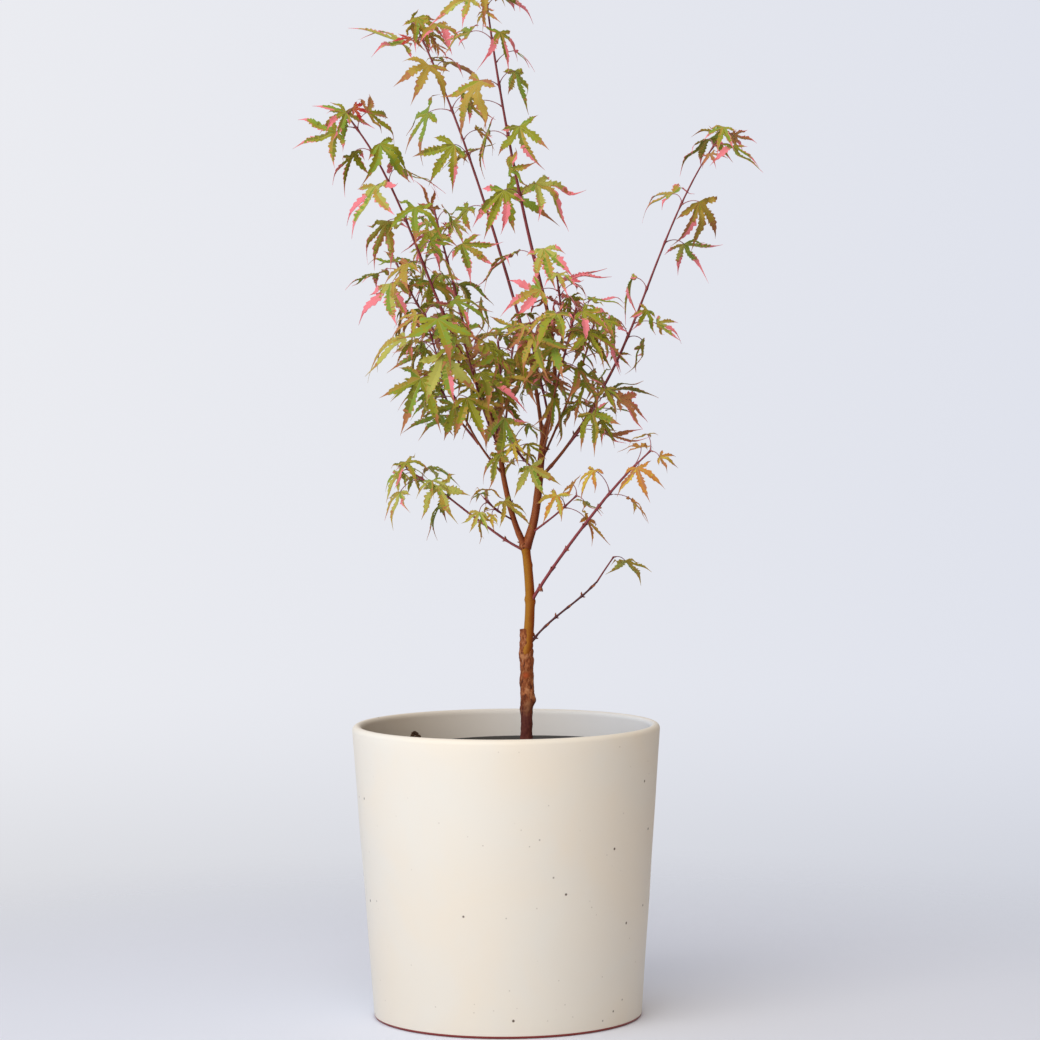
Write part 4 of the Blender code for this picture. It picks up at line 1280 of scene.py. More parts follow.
# How many waves of noise go to a metre, across the stem and along it, and how high they rise.
CRACK_WAVES = Vector((420, 420, 150))
CRACK_FLOOR = 0.2
CRACK_DEPTH = 0.8 * MM
LUMP_WAVES = 130
LUMPS = 0.6 * MM
ROUGH_WAVES = 900
ROUGHNESS = 0.2 * MM
RIDGE_WAVES = Vector((300, 300, 90))
RIDGES = 0.1 * MM
KNOB_SLOPE = 0.6
SLIM_BELOW = 252 * MM
SLIM_OVER = 3 * MM
SLIMMER = 0.8 * MM


def bell(place, centre, size):
    """A soft lump: 1 at its centre, and next to nothing two sizes away."""
    return math.exp(-((place - centre).length / size)**2)


def rough_relief(place):
    """Cracked old bark with its knobs, slimmer below the graft."""
    rise = (abs(noise.noise(place * CRACK_WAVES)) - CRACK_FLOOR) * CRACK_DEPTH
    rise += noise.noise(place * ROUGH_WAVES) * ROUGHNESS + noise.noise(place * LUMP_WAVES) * LUMPS
    rise -= SLIMMER / (1 + math.exp((place.z - SLIM_BELOW) / SLIM_OVER))
    for knob in KNOBS:
        toward = Vector((math.cos(math.radians(knob.faces)), math.sin(math.radians(knob.faces)), 0))
        centre = Vector((LINER_CENTRE_X, 0, knob.height * MM)) + toward * ROOTSTOCK_RADIUS
        rise += knob.stands * MM * bell(place, centre, knob.size * MM * KNOB_SLOPE)
    return rise


def ringed(spots, size, rise):
    """Relief of young bark: rings round the given places and faint ridges."""
    def relief(place):
        swell = max((bell(place, spot, size) for spot in spots), default=0)
        return rise * swell + noise.noise(place * RIDGE_WAVES) * RIDGES
    return relief


# %% [markdown]
# ### Trunk
#
# The rootstock was cut off above the graft, and its stub still stands beside the scion, slimmer than the
# stem below. The scion starts as a thin tongue inside the graft, leans against the stub and thickens
# upwards. A squashed ball closes the fork, where the bark changes to the leaders'.

# %% Trunk
ROOTSTOCK_FINE = 0.6 * MM
ROOTSTOCK_SIDES = 64
SCION_FINE = 0.8 * MM
SCION_SIDES = 40
GRAFT_TONGUE = 9 * MM
TONGUE_THINNER = 0.75
TONGUE_OUT = Vector((-1.2, -2.0, 0)) * MM
STUB_SLIMMER = 0.16
STUB_FROM = 296 * MM
STUB_FADE = 6 * MM
SCION_LEANS_BELOW = 342 * MM
SCION_LEAN = 0.9 * MM
BURIED = 2 * MM
BURIED_WIDER = 1.1
# Scars of old twigs: their height in millimetres, and the side that they are on.
SCARS = ((339, -1), (337, 1), (301, 1), (367, 0.6))
SCAR_SIZE = 2.4 * MM
SCAR_RISE = 0.8 * MM
FORK_BALL = FORK_RADIUS * 1.03
FORK_BALL_SHAPE = (1.14, 1, 1.1, 1)
FORK_BALL_DROP = 1.4 * MM
SCION_BARK_TOP = FORK_HEIGHT + 0.6 * MM


def limited(share):
    """The share, kept between 0 and 1."""
    return max(0.0, min(1.0, share))


bm = bmesh.new()
path, radii = refined(*rootstock(), ROOTSTOCK_FINE)
radii = [radius * (1 - STUB_SLIMMER * limited((point.z - STUB_FROM) / STUB_FADE))
         for point, radius in zip(path, radii)]
path = [path[0] - Vector((0, 0, BURIED)), *path]
radii = [radii[0] * BURIED_WIDER, *radii]
tube(bm, path, radii, ROOTSTOCK_SIDES, rough_relief)

path, radii = refined(*scion(), SCION_FINE)
for k, point in enumerate(path):
    down = limited((ROOTSTOCK_TOP - point.z) / (ROOTSTOCK_TOP - SCION_START))
    lean = limited((SCION_LEANS_BELOW - point.z) / (SCION_LEANS_BELOW - ROOTSTOCK_TOP))
    path[k] = point + TONGUE_OUT * down**1.5 - Vector((SCION_LEAN, 0, 0)) * lean
    radii[k] *= 1 - TONGUE_THINNER * max(0.0, 1 - (point.z - SCION_START) / GRAFT_TONGUE)**2
scars = [at_height(path, radii, height * MM)[0] + Vector((side * SCION_RADIUS, 0, 0))
         for height, side in SCARS]
tube(bm, path, radii, SCION_SIDES, ringed(scars, SCAR_SIZE, SCAR_RISE), 1)
fork = path[-1]
bmesh.ops.create_uvsphere(bm, u_segments=32, v_segments=20, radius=FORK_BALL,
                          matrix=Matrix.Translation(fork - Vector((0, 0, FORK_BALL_DROP)))
                          @ Matrix.Diagonal(FORK_BALL_SHAPE))
for face in bm.faces:
    face.smooth = True
    if face.calc_center_median().z > SCION_BARK_TOP:
        face.material_index = 2
finish_piece("trunk_bark", bm, [old_bark, scion_bark, leader_bark], ["trunk"])

# %% [markdown]
# ### Leaders and boughs
#
# Each limb flares where it leaves the one below, and carries a ring and two buds about every 27 mm. The
# picture shows the leaders a little thicker than their solids and many boughs slimmer, so each gets its own
# girth. The lowest bough on the right is weathered and grey, and two other low ones are wine red.

# %% Leaders and boughs
NODE_SPACING = {"bough_lowest_right": 13 * MM, "bough_lower_right": 24 * MM}
USUAL_SPACING = 27 * MM
FIRST_RING = 0.6
LAST_RING = 0.98
RING_WANDER = 0.12
RING_RISE = 0.5 * MM
RING_SEED = 8
LIMB_FINE = 1.5 * MM
LEADER_SIDES = 28
BOUGH_SIDES = 16
FLARE_SHARE = 0.45
FLARE_REACH = 2.2
GIRTH = {"leader_right": 1.15, "leader_left": 1.08, "bough_right": 0.7, "leaves_right": 0.78,
         "bough_lower_right": 0.85, "leaves_lower_right": 0.85, "bough_lowest_right": 0.78,
         "leaves_lowest_right": 0.78, "bough_low_left": 0.68, "leaves_low_left": 0.8,
         "bough_inner_left": 0.85, "bough_back_right": 0.85, "bough_front": 0.85, "bough_back": 0.85}
BOUGH_COATS = [bough_skin, grey_bark, shoot_bark]
COAT_OF = {"bough_lowest_right": 1, "bough_lower_right": 2, "bough_lowest_left": 2}


def nodes_along(path, spacing, dice):
    """Places and directions of the rings along a limb, about one spacing apart."""
    reach = sum((b - a).length for a, b in zip(path, path[1:]))
    count = max(1, round(reach / spacing))
    shares = [(k + FIRST_RING + dice.uniform(-RING_WANDER, RING_WANDER)) / count for k in range(count)]
    return [along(path, min(LAST_RING, share)) for share in shares]


buds_at = []
dice = random.Random(RING_SEED)
leaders = bmesh.new()
boughs = bmesh.new()
for k, limb in enumerate(LIMBS):
    coarse, radii = rods[limb.name]
    thick = limb.thick * MM
    rings = nodes_along(coarse, NODE_SPACING.get(limb.name, USUAL_SPACING), dice)
    path, radii = refined(coarse, radii, LIMB_FINE)
    radii = [radius * GIRTH.get(limb.name, 1)
             + thick * FLARE_SHARE * math.exp(-(place - path[0]).length / (FLARE_REACH * thick))
             for place, radius in zip(path, radii)]
    older = limb.name.startswith("leader")
    relief = ringed([place for place, way in rings], thick * 0.8 + 0.8 * MM, RING_RISE)
    tube(leaders if older else boughs, path, radii, LEADER_SIDES if older else BOUGH_SIDES, relief,
         COAT_OF.get(limb.name, 0))
    buds_at += [(place, way, thick, 30 + 90 * (j + k)) for j, (place, way) in enumerate(rings)]
finish_piece("leader_bark", leaders, [leader_bark], ["leader_right", "leader_left"])
finish_piece("bough_bark", boughs, BOUGH_COATS,
             [limb.name for limb in LIMBS if limb.name.startswith("bough")])

# %% [markdown]
# ### Shoots
#
# A shoot is the stem of a mass of leaves. Its tube starts inside the limb that carries it, so no gap shows,
# and swells where each leaf stalk leaves it. Short side twigs are thinner tubes of the same bark.

# %% Shoots that carry the leaves
LEAD_IN = 1.0 * MM
SIDE_LEAD_IN = 2.5 * MM
STALK_RING = 1.8 * MM
STALK_RING_RISE = 0.4 * MM
SHOOT_FINE = 2.0 * MM
SHOOT_SIDES = 12
TWIG_FINE = 2.2 * MM
TWIG_SIDES = 10
TWIG_TAPER = (1.3, 0.9)

shoots = bmesh.new()
for mass in MASSES:
    path, radii = stems[mass.name]
    twigs, leaves = grown[mass.name]
    way = (path[1] - path[0]).normalized()
    lead_in = path[0] - way * (SIDE_LEAD_IN if mass.at else LEAD_IN)
    rings = [leaf["path"][0] for leaf in leaves]
    path, radii = refined(path, radii, SHOOT_FINE)
    radii = [radius * GIRTH.get(mass.name, 1) for radius in radii]
    relief = ringed(rings, STALK_RING, STALK_RING_RISE)
    tube(shoots, [lead_in, *path], [radii[0], *radii], SHOOT_SIDES, relief)
    for twig in twigs:
        sizes = tapered(len(twig), *(TWIG_RADIUS * share for share in TWIG_TAPER))
        tube(shoots, *refined(twig, sizes, TWIG_FINE), TWIG_SIDES)
finish_piece("shoots", shoots, [shoot_bark], [])

# %% [markdown]
# ## Small young leaves
#
# The tips of the shoots carry a tuft of leaves that have only just opened, and small leaves come out along
# the shoots too. They are too small for the solids, so the rule is carried on here: the same leaf, smaller,
# wherever it has room.

# %% Tufts and small leaves
TUFT = 4
TUFT_STEP = 0.05
TUFT_TURN = 110
TUFT_BLADE = 0.42
SMALL_BLADE = 0.55
SMALL_STALK = (0.5, 1.1)
SMALL_ALONG = (0.2, 0.95)
SMALL_YOUTH = 0.5
MANY_SMALL = 6
SMALL_SEED_STEP = 100
SMALL_LEAVES = {"leaves_tall_centre": 3, "leaves_tall_left": 3, "leaves_far_left": 3, "leaves_right": 2,
                "leaves_lowest_left": 2, "leaves_fork_left": 1, "leaves_fork_right": 1}

for mass in MASSES:
    if mass.name in ("leaves_lowest_right", "leaves_lower_right"):
        continue
    dice = random.Random(mass.seed + SMALL_SEED_STEP)
    leaves = grown[mass.name][1]
    stem = stems[mass.name][0]
    blade = mass.blade * MM
    stalk = mass.stalk * MM
    young = []
    for k in range(TUFT):
        foot, way = along(stem, 1 - TUFT_STEP * k)
        try_leaf(dice, young, standing, stem, foot, way, mass.turn + TUFT_TURN * k, blade * TUFT_BLADE,
                 stalk * TUFT_BLADE, 1.0)
    for leaf in young:
        leaf["tuft"] = True
    for k in range(SMALL_LEAVES.get(mass.name, MANY_SMALL)):
        foot, way = along(stem, dice.uniform(*SMALL_ALONG))
        try_leaf(dice, young, standing, stem, foot, way, dice.uniform(0, 360), blade * SMALL_BLADE,
                 stalk * dice.uniform(*SMALL_STALK), SMALL_YOUTH)
    leaves += young
print("leaves with the small ones:", sum(len(leaves) for twigs, leaves in grown.values()))

# %% [markdown]
# ### Leaf stalks
#
# Each stalk is a thin arch that thickens where it meets the shoot and, a little, where the blade starts.

# %% Leaf stalks
STALK_POINTS = 8
STALK_THIN = 0.62
STALK_FOOT = 0.8
STALK_FOOT_FADE = 1.1
STALK_TOP = 0.3
STALK_SIDES = 6

stalks = bmesh.new()
for twigs, leaves in grown.values():
    for leaf in leaves:
        foot, half_way, end = leaf["path"]
        middle = half_way * 2 - (foot + end) / 2
        path = [foot * (1 - t)**2 + middle * 2 * t * (1 - t) + end * t**2
                for t in (k / STALK_POINTS for k in range(STALK_POINTS + 1))]
        sizes = [STALK_RADIUS * (STALK_THIN + STALK_FOOT * math.exp(-k * STALK_FOOT_FADE)
                                 + (STALK_TOP if k == STALK_POINTS else 0)) for k in range(STALK_POINTS + 1)]
        tube(stalks, path, sizes, STALK_SIDES)
finish_piece("leaf_stalks", stalks, [stalk_skin], [])

# %% [markdown]
# ### Buds
#
# Two buds sit on each ring of a limb and one beside each leaf stalk, for next year. A bud is a ball with few
# faces, drawn out and pointed: there are hundreds. Stubs of cut twigs stand round the fork, and the tip of a
# side twig has died on the lower right bough and hangs there as a cluster of brown buds.

# %% Buds and stubs
BUD_SIZE = (0.6, 0.95)
BUD_SLENDERNESS = (1.4, 2.4)
BUD_FOOT = 1.15
BUD_NARROWS = 0.75
BUD_SEED = 3
LEAF_BUD = 0.62 * MM
LEAF_BUD_SLENDERNESS = 1.8
STUB_SIZE = 0.9 * MM
# How far each stub is turned round the fork, how far it leans out, and its slenderness.
STUBS = ((-8, 60, 2.6), (170, 75, 1.8), (-60, 30, 2.0), (100, 50, 1.6), (20, 20, 1.5))
DEAD_TIP_AT = 0.16
DEAD_TIP_DROP = 1.2 * MM


def bud(bm, place, point, size, slenderness):
    """A bud: a ball drawn out to a point along its direction."""
    turned = point.to_track_quat("Z", "Y").to_matrix().to_4x4()
    stand = Matrix.Translation(place + point * size * slenderness) @ turned
    made = bmesh.ops.create_uvsphere(bm, u_segments=8, v_segments=6, radius=size,
                                     matrix=stand @ Matrix.Diagonal((1, 1, slenderness, 1)))
    for corner in made["verts"]:
        height = (corner.co - place).dot(point) / (2 * size * slenderness)
        axis = place + point * (corner.co - place).dot(point)
        corner.co = axis + (corner.co - axis) * (BUD_FOOT - BUD_NARROWS * height)
        for face in corner.link_faces:
            face.smooth = True


buds = bmesh.new()
dice = random.Random(BUD_SEED)
for place, way, radius, turn in buds_at:
    for side in (0, 180):
        out = sideways(way, turn + side)
        point = (way * 0.75 + out * 0.75).normalized()
        size = dice.uniform(*BUD_SIZE) * MM
        bud(buds, place + out * radius * 0.7, point, size, dice.uniform(*BUD_SLENDERNESS))
for twigs, leaves in grown.values():
    for leaf in leaves:
        foot, half_way, end = leaf["path"]
        point = (half_way - foot).normalized()
        bud(buds, foot + point * 1.0 * MM, point, LEAF_BUD, LEAF_BUD_SLENDERNESS)
for turn, lean, slenderness in STUBS:
    point = heading(lean, 0)
    point.rotate(Matrix.Rotation(math.radians(turn), 3, "Z"))
    bud(buds, fork + point * FORK_RADIUS * 0.85, point, STUB_SIZE, slenderness)
foot, way = along(rods["bough_lower_right"][0], DEAD_TIP_AT)
down = Vector((0, 0, -1))
for turn in range(0, 360, 60):
    point = (down + sideways(way, turn) * 0.5).normalized()
    bud(buds, foot + down * DEAD_TIP_DROP, point, STUB_SIZE, BUD_SLENDERNESS[1])
finish_piece("buds", buds, [leader_bark], [])

# %% [markdown]
# ## Leaves
#
# A leaf of this maple is cut almost to its stalk into five long lobes. Each lobe is widest near its middle,
# has coarse teeth that point to its drawn out tip, and folds up a little from a pale rib. Green fills the
# middle of the leaf, and pink or bronze runs along its edges and tips, or fills half a lobe or a whole one.
#
# Its skin is waxy and soft. Every tint is a material of its own with one plain base colour, so nothing is
# painted on and the leaf needs no picture: which face gets which tint is settled when the leaf is made.

# %% Leaf coats
LEAF_COLOURS = {
    "olive green leaf": "#969626",
    "deep olive leaf": "#7C7A26",
    "light olive leaf": "#B6B254",
    "fresh green leaf": "#869C36",
    "yellow olive leaf": "#B4963E",
    "bronze leaf": "#B4764A",
    "pink leaf": "#EE848C",
    "rose leaf": "#D46068",
    "crimson young leaf": "#C03A38",
    "orange leaf": "#C88636",
    "yellow leaf": "#CEB040",
    "pale leaf rib": "#A8A455",
}
VEINS_PER_METRE = 650.0


def leaf_coat(name, colour):
    """Thin leaf skin: waxy and soft, in the plain colour that its place asks for."""
    made, tree, shader = start_material(name, colour, 0.55, 0.2)
    place = add(tree, "ShaderNodeTexCoord").outputs["Object"]
    # Veins stand 1.5 mm apart.
    veins = add(tree, "ShaderNodeTexNoise", {"Scale": VEINS_PER_METRE, "Detail": 2.0}, {"Vector": place})
    relief = add(tree, "ShaderNodeBump", {"Strength": 0.25, "Distance": 0.3 * MM},
                 {"Height": veins.outputs["Fac"]})
    tree.links.new(relief.outputs["Normal"], shader.inputs["Normal"])
    return made


leaf_coats = [leaf_coat(name, colour) for name, colour in LEAF_COLOURS.items()]
print("leaf coats:", len(leaf_coats))
GREEN, DEEP, LIGHT, FRESH, TAN, BRONZE, PINK, ROSE, CRIMSON, ORANGE, YELLOW, RIB = range(len(LEAF_COLOURS))

# %% [markdown]
# ### Shape of a lobe
#
# Each lobe is a bent grid: five strips across for edge, blade, rib, blade and edge. It shares its lowest
# rows with the lobes beside it, so welding joins them into a palm. Above them four rows make a tooth, and the
# teeth of the two edges stand in turn. Each leaf has its own width and fold, and each lobe sways sideways,
# curls down at its tip and ripples a little, as its dice fall.

# %% Shape of a lobe
PALM_ROWS = (0.0, 0.08, 0.16)
LOBE_HALF_WIDTH = 0.093
LOBE_PROFILE = ((0.0, 0.55), (0.15, 0.8), (0.32, 1.0), (0.45, 0.98), (0.58, 0.78), (0.7, 0.46), (0.8, 0.2),
                (0.9, 0.08), (1.0, 0.0))
TEETH = 6
FEWEST_TEETH = 3
TEETH_FROM = 0.06
TEETH_TO = 0.76
TOOTH_LENGTHS = (0.5, 1.5)
TIP_ROWS = (0.8, 0.9, 1.0)
TOOTH_OUT = 1.18
NOTCH_IN = 0.74
# The rows of a tooth: a share of its length, and how far the left and the right edge rise to a point.
SAW = ((0.2, 0.38, 1.0), (0.4, 0.62, 0.0), (0.7, 1.0, 0.38), (0.9, 0.0, 0.62))
FULL_BLADE = 38 * MM
SHORT_LOBE_WIDTH = 0.4
OUTER_HALF_ANGLE = 22
FOLD = 0.3
SWAY = 0.16
CURL = (0.15, 0.13)
RIPPLE = 0.03
# A lobe has a little more than one wave, in radians.
RIPPLE_LENGTH = 7
EDGE_STRIP = 0.72
RIB_HALF_WIDTH = 0.2 * MM
LEAF_THICKNESS = 0.25 * MM


def profile_at(share):
    """A lobe's half width there, for a widest of 1."""
    for (a, low), (b, high) in zip(LOBE_PROFILE, LOBE_PROFILE[1:]):
        if share <= b:
            return low + (high - low) * (share - a) / (b - a)
    return 0.0


def free_rows(teeth, dice):
    """Rows of a lobe's cut part: a share of its length, and its half width on the left and the right."""
    rows = []
    steps = [dice.uniform(*TOOTH_LENGTHS) for k in range(teeth)]
    below = TEETH_FROM
    for step in steps:
        step *= (TEETH_TO - TEETH_FROM) / sum(steps)
        points = [1 + (TOOTH_OUT - 1) * dice.uniform(0, 2) for side in (0, 1)]
        for at, *risen in SAW:
            t = below + at * step
            rows.append((t, *(profile_at(t) * (NOTCH_IN + (point - NOTCH_IN) * share)
                              for point, share in zip(points, risen))))
        below += step
    return [*rows, *((t, profile_at(t), profile_at(t)) for t in TIP_ROWS)]


def lobe_grid(bm, leaf, k, shape, coat, dice):
    """One lobe of a leaf as a bent grid, in the leaf's own frame."""
    lobes, length = leaf["lobes"], leaf["length"]
    angle, share, droop = lobes[k]
    halves = {}
    for side, other in ((-1, k - 1), (1, k + 1)):
        near = 0 <= other < len(lobes)
        half = abs(lobes[other][0] - angle) / 2 if near else OUTER_HALF_ANGLE
        halves[side] = half, (droop + lobes[other][2]) / 2 if near else droop
    axis = Vector((math.sin(math.radians(angle)), math.cos(math.radians(angle)), 0))
    across = Vector((axis.y, -axis.x, 0))
    width = shape["width"] * length * (SHORT_LOBE_WIDTH + (1 - SHORT_LOBE_WIDTH) * share)
    rows = free_rows(max(FEWEST_TEETH, round(TEETH * share * min(1, length / FULL_BLADE))), dice)
    sway, curl, ripple = dice.gauss(0, SWAY), dice.gauss(*CURL), dice.gauss(0, RIPPLE)

    def spine(reach, t):
        """A point on the rib: reach from the leaf's centre, t the share of the cut part."""
        return (axis * reach - Vector((0, 0, droop * reach**2)) + across * sway * t * t * share
                + Vector((0, 0, ripple * math.sin(t * RIPPLE_LENGTH) - curl * t**3 * share))) * length

    def place(column, row):
        side = -1 if column < 3 else 1
        half, mean_droop = halves[side]
        if row < len(PALM_ROWS):
            reach = PALM_ROWS[row]
            rib = spine(reach, 0) + across * side * min(RIB_HALF_WIDTH, reach * length * 0.2)
            turn = math.radians(angle + side * half)
            lift = shape["fold"] * reach * math.sin(math.radians(half))
            rim = (Vector((math.sin(turn), math.cos(turn), 0)) * reach
                   + Vector((0, 0, lift - mean_droop * reach**2))) * length
        else:
            t, *half_widths = rows[row - len(PALM_ROWS)]
            reach = PALM_ROWS[-1] + (share - PALM_ROWS[-1]) * t
            if t == 1:
                return spine(reach, 1)
            wide = width * half_widths[column > 2]
            rib = spine(reach, t) + across * side * min(RIB_HALF_WIDTH * (1.1 - t), wide / 3)
            rim = spine(reach, t) + across * side * wide + Vector((0, 0, shape["fold"] * wide))
        if column in (2, 3):
            return rib
        if column in (0, 5):
            return rim
        return rib.lerp(rim, EDGE_STRIP)

    last = len(PALM_ROWS) + len(rows) - 1
    bent_grid(bm, 5, last, place, slots_of(coat, dice, last))


# %% [markdown]
# ### Coats and sprays
#
# A coat says how a leaf is coloured, and a spray is a mixture of coats that suits its place in the crown:
# pink and bronze at the top, green inside, orange low on the right. The dice pick a coat for each leaf by its
# weight. The youngest leaves and the tufts have mixtures of their own, redder at the top of the tree.

# %% Coats and sprays


class Coat(typing.NamedTuple):
    """A leaf's tints: its blade, edge and tips, and the chances of an all pink lobe and of half a one."""

    blade: int
    edge: int
    tip: int
    pink: float
    half: float


COATS = {
    "edged": Coat(GREEN, BRONZE, BRONZE, 0.02, 0.06),
    "fringed": Coat(GREEN, PINK, PINK, 0.03, 0.06),
    "fresh": Coat(FRESH, GREEN, BRONZE, 0.0, 0.05),
    "plain": Coat(GREEN, TAN, BRONZE, 0.0, 0.04),
    "deep": Coat(DEEP, BRONZE, BRONZE, 0.02, 0.05),
    "light": Coat(LIGHT, PINK, PINK, 0.08, 0.16),
    "pale": Coat(LIGHT, TAN, TAN, 0.0, 0.08),
    "tan": Coat(TAN, BRONZE, BRONZE, 0.02, 0.06),
    "pink": Coat(GREEN, PINK, PINK, 0.25, 0.25),
    "rose": Coat(PINK, PINK, ROSE, 0.5, 0.0),
    "bronze": Coat(BRONZE, ROSE, ROSE, 0.05, 0.08),
    "crimson": Coat(CRIMSON, CRIMSON, ROSE, 0.0, 0.0),
    "orange": Coat(ORANGE, ORANGE, BRONZE, 0.0, 0.0),
    "yellow": Coat(YELLOW, ORANGE, BRONZE, 0.0, 0.02),
}

SPRAYS = {
    "leaves_tall_centre": {"edged": 2, "fresh": 1, "tan": 2, "light": 3, "pink": 4, "plain": 1},
    "leaves_tall_left": {"edged": 2, "fresh": 2, "plain": 2, "light": 2, "tan": 2, "fringed": 2},
    "leaves_far_left": {"fringed": 2, "light": 4, "pink": 1, "fresh": 3, "tan": 1},
    "leaves_inner_left": {"light": 4, "fringed": 2, "edged": 1, "bronze": 1, "tan": 2, "pink": 1},
    "leaves_low_left": {"pale": 3, "edged": 1, "plain": 4, "fresh": 2, "tan": 1},
    "leaves_right": {"plain": 1, "fringed": 3, "pink": 4, "light": 4, "tan": 1},
    "leaves_front": {"plain": 3, "edged": 2, "rose": 1, "deep": 2, "tan": 2},
    "leaves_back": {"edged": 2, "tan": 2, "plain": 3, "deep": 2},
    "leaves_back_right": {"deep": 3, "tan": 1, "plain": 3},
    "leaves_lower_right": {"orange": 6, "yellow": 1},
    "leaves_lowest_right": {"pale": 1},
    "leaves_lowest_left": {"pale": 5, "fresh": 1, "plain": 1},
    "leaves_upright": {"plain": 3, "edged": 2, "tan": 2, "deep": 2, "fresh": 1, "bronze": 1},
    "leaves_inner_front": {"plain": 3, "yellow": 2, "pale": 2},
    "leaves_pink": {"rose": 5, "pink": 1, "bronze": 6},
    "leaves_centre": {"plain": 3, "deep": 2, "edged": 3, "tan": 2, "bronze": 1},
    "leaves_mid_left": {"pale": 2, "edged": 2, "fresh": 2, "light": 3, "tan": 1},
    "leaves_mid_low": {"pale": 1, "fresh": 4, "plain": 1},
    "leaves_mid_front": {"plain": 2, "deep": 1, "fresh": 2, "tan": 1},
    "leaves_mid_right": {"deep": 2, "edged": 3, "plain": 2, "fresh": 1, "bronze": 1},
    "leaves_fork_right": {"orange": 4, "yellow": 1, "plain": 1},
    "leaves_fork_left": {"yellow": 2, "pale": 1},
}
YOUNG = {"bronze": 1, "fringed": 3, "tan": 2, "light": 2, "pink": 3}
QUIET_YOUNG = {"fringed": 1, "tan": 3, "fresh": 3, "edged": 3}
PINK_AT_TOP = ("leaves_tall_centre", "leaves_tall_left", "leaves_far_left", "leaves_inner_left",
               "leaves_right", "leaves_pink")
TUFTS = {"crimson": 1, "bronze": 3, "tan": 2, "rose": 1}
QUIET_TUFTS = {"bronze": 2, "tan": 2, "edged": 2}
RED_TUFTS = {"crimson": 4, "bronze": 1, "rose": 2}
RED_TIPPED = ("leaves_far_left", "leaves_inner_left")
# The youngest leaves of these sprays are coloured like the rest.
EVEN_SPRAYS = ("leaves_lower_right", "leaves_lowest_right", "leaves_fork_right", "leaves_fork_left",
               "leaves_lowest_left")
print("sprays:", len(SPRAYS), "mixed from", len(COATS), "coats")

# %% [markdown]
# ### A tint for each face
#
# On a real leaf one tint runs into the next. Here the border between two tints is ragged and moves from lobe
# to lobe, gaps break the coloured edge, a narrow bronze border leads to pink, and a few faces take a near
# shade of the blade's own.

# %% Tints of the faces
RAGGED = 0.07
BLOTCHES = 0.16
BLOTCH_SHADES = 4
EDGE_GAPS = 0.25
# Where along a lobe the rib ends, and where its pink, its tip and its coloured edge start.
RIB_TO = (0.2, 0.45)
PINK_FROM = (0.14, 0.42)
TIP_FROM = (0.6, 0.92)
EDGE_FROM = (0.1, 0.75)
BORDER = 0.06
ROSE_FROM = 0.85
# The shades that a blade of each tint may take, half a lobe at a time.
SHADES = {
    GREEN: (GREEN, GREEN, FRESH, DEEP, GREEN, TAN, TAN),
    DEEP: (DEEP, DEEP, DEEP, GREEN, BRONZE),
    LIGHT: (LIGHT, LIGHT, LIGHT, FRESH, LIGHT, TAN, TAN),
    FRESH: (FRESH, FRESH, GREEN, GREEN),
    TAN: (TAN, TAN, TAN, GREEN, BRONZE),
    ORANGE: (ORANGE, ORANGE, YELLOW, BRONZE),
    YELLOW: (YELLOW, YELLOW, ORANGE, LIGHT),
    PINK: (PINK, PINK, ROSE, ROSE, BRONZE),
}


def slots_of(coat, dice, last):
    """Gives the material of each face of a lobe, by its column and row, with ragged borders and blotches."""
    chance = dice.random()
    pink_sides = ()
    if chance < coat.pink:
        pink_sides = -1, 0, 1
    elif chance < coat.pink + coat.half:
        pink_sides = (dice.choice((-1, 1)),)
    shades = SHADES.get(coat.blade, (coat.blade,))
    blade = {side: dice.choice(shades) for side in (-1, 1)}
    blade[0] = blade[1]
    rib_to = dice.uniform(*RIB_TO)
    ragged = {(column, row): dice.gauss(0, RAGGED) for column in range(5) for row in range(last)}
    pink_from = dice.uniform(*PINK_FROM)
    tip_from = dice.uniform(*TIP_FROM)
    edge_from = [dice.uniform(*EDGE_FROM) for column in range(5)]
    blotches = {(column, row): dice.choice(shades[:BLOTCH_SHADES])
                for column in range(5) for row in range(last) if dice.random() < BLOTCHES}
    gaps = {(column, row) for column in (0, 4) for row in range(last) if dice.random() < EDGE_GAPS}

    def slot_of(column, row):
        t = row / last + ragged[column, row]
        side = (column > 2) - (column < 2)
        if column == 2 and t < rib_to:
            return RIB
        if side in pink_sides and t > pink_from:
            return BRONZE if t < pink_from + BORDER else ROSE if t > ROSE_FROM else PINK
        if t > tip_from:
            return BRONZE if t < tip_from + BORDER else coat.tip
        if column in (0, 4) and t > edge_from[column] and (column, row) not in gaps:
            return coat.edge
        return blotches.get((column, row), blade[side])

    return slot_of


# %% [markdown]
# ### Make the leaves
#
# Welding joins the lobes of a leaf, and extruding the sheet by the thickness of a leaf closes it. The rim's
# edges are marked sharp, so both flat sides shade smoothly. Leaves that stand near each other are joined into
# one piece, so the crown has seven pieces instead of hundreds.

# %% Make the leaves
WIDTH_RANGE = (0.82, 1.22)
FOLD_RANGE = (0.3, 1.8)
WELD = 0.01 * MM
YOUNGEST = 0.8


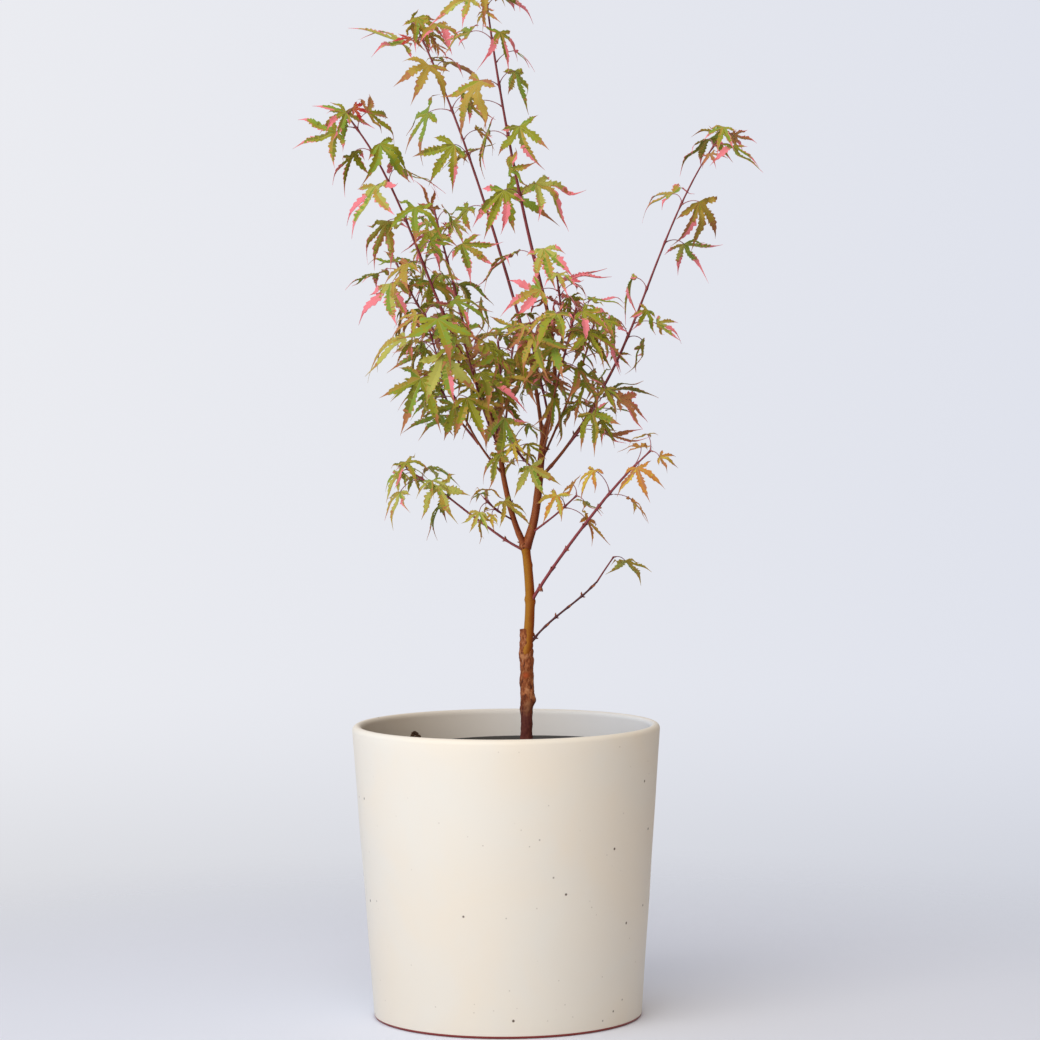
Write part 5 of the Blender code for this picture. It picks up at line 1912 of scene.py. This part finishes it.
def leaf_mesh(bm, leaf, dice, coat):
    """One closed leaf, its lobes welded, its thickness given and its rim sharp, added to a mesh."""
    shape = {"width": LOBE_HALF_WIDTH * dice.uniform(*WIDTH_RANGE), "fold": FOLD * dice.uniform(*FOLD_RANGE)}
    single = bmesh.new()
    for k in range(len(leaf["lobes"])):
        lobe_grid(single, leaf, k, shape, coat, dice)
    bmesh.ops.remove_doubles(single, verts=single.verts, dist=WELD)
    upper = single.faces[:]
    made = bmesh.ops.extrude_face_region(single, geom=upper)["geom"]
    lower = [corner for corner in made if isinstance(corner, bmesh.types.BMVert)]
    bmesh.ops.translate(single, verts=lower, vec=(0, 0, -LEAF_THICKNESS))
    bmesh.ops.recalc_face_normals(single, faces=single.faces)
    below = set(lower)
    for face in single.faces:
        if 0 < sum(corner in below for corner in face.verts) < len(face.verts):
            for edge in face.edges:
                edge.smooth = False
    bmesh.ops.transform(single, matrix=leaf["frame"], verts=single.verts)
    merge_into(bm, single)


GROUPS = {
    "foliage_left": ["leaves_far_left", "leaves_inner_left", "leaves_mid_left"],
    "foliage_low_left": ["leaves_low_left", "leaves_mid_low", "leaves_mid_front", "leaves_lowest_left"],
    "foliage_tall": ["leaves_tall_centre", "leaves_tall_left"],
    "foliage_right": ["leaves_right", "leaves_back_right", "leaves_back"],
    "foliage_middle": ["leaves_upright", "leaves_inner_front", "leaves_pink", "leaves_centre",
                       "leaves_front", "leaves_mid_right"],
    "foliage_orange": ["leaves_lower_right"],
    "foliage_low_right": ["leaves_lowest_right", "leaves_fork_right", "leaves_fork_left"],
}


def pick(dice, weights):
    """One name out of a table of names and weights."""
    return dice.choices(list(weights), list(weights.values()))[0]


for group, names in GROUPS.items():
    bm = bmesh.new()
    for name in names:
        dice = random.Random(name)
        for leaf in grown[name][1]:
            weights = SPRAYS[name]
            if leaf.get("tuft"):
                weights = RED_TUFTS if name in RED_TIPPED else TUFTS if name in PINK_AT_TOP else QUIET_TUFTS
            elif leaf["youth"] > YOUNGEST and name not in EVEN_SPRAYS:
                weights = YOUNG if name in PINK_AT_TOP else QUIET_YOUNG
            leaf_mesh(bm, leaf, dice, COATS[pick(dice, weights)])
    finish_piece(group, bm, leaf_coats, names)

# %% [markdown]
# ## Sizes
#
# The finished object is meant to fill the same box as its solids. The last cell prints the box of the
# finished pieces.

# %% Size of the finished pieces
low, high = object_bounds()
print("box of the pieces", [round(x, 3) for x in (*low, *high)])
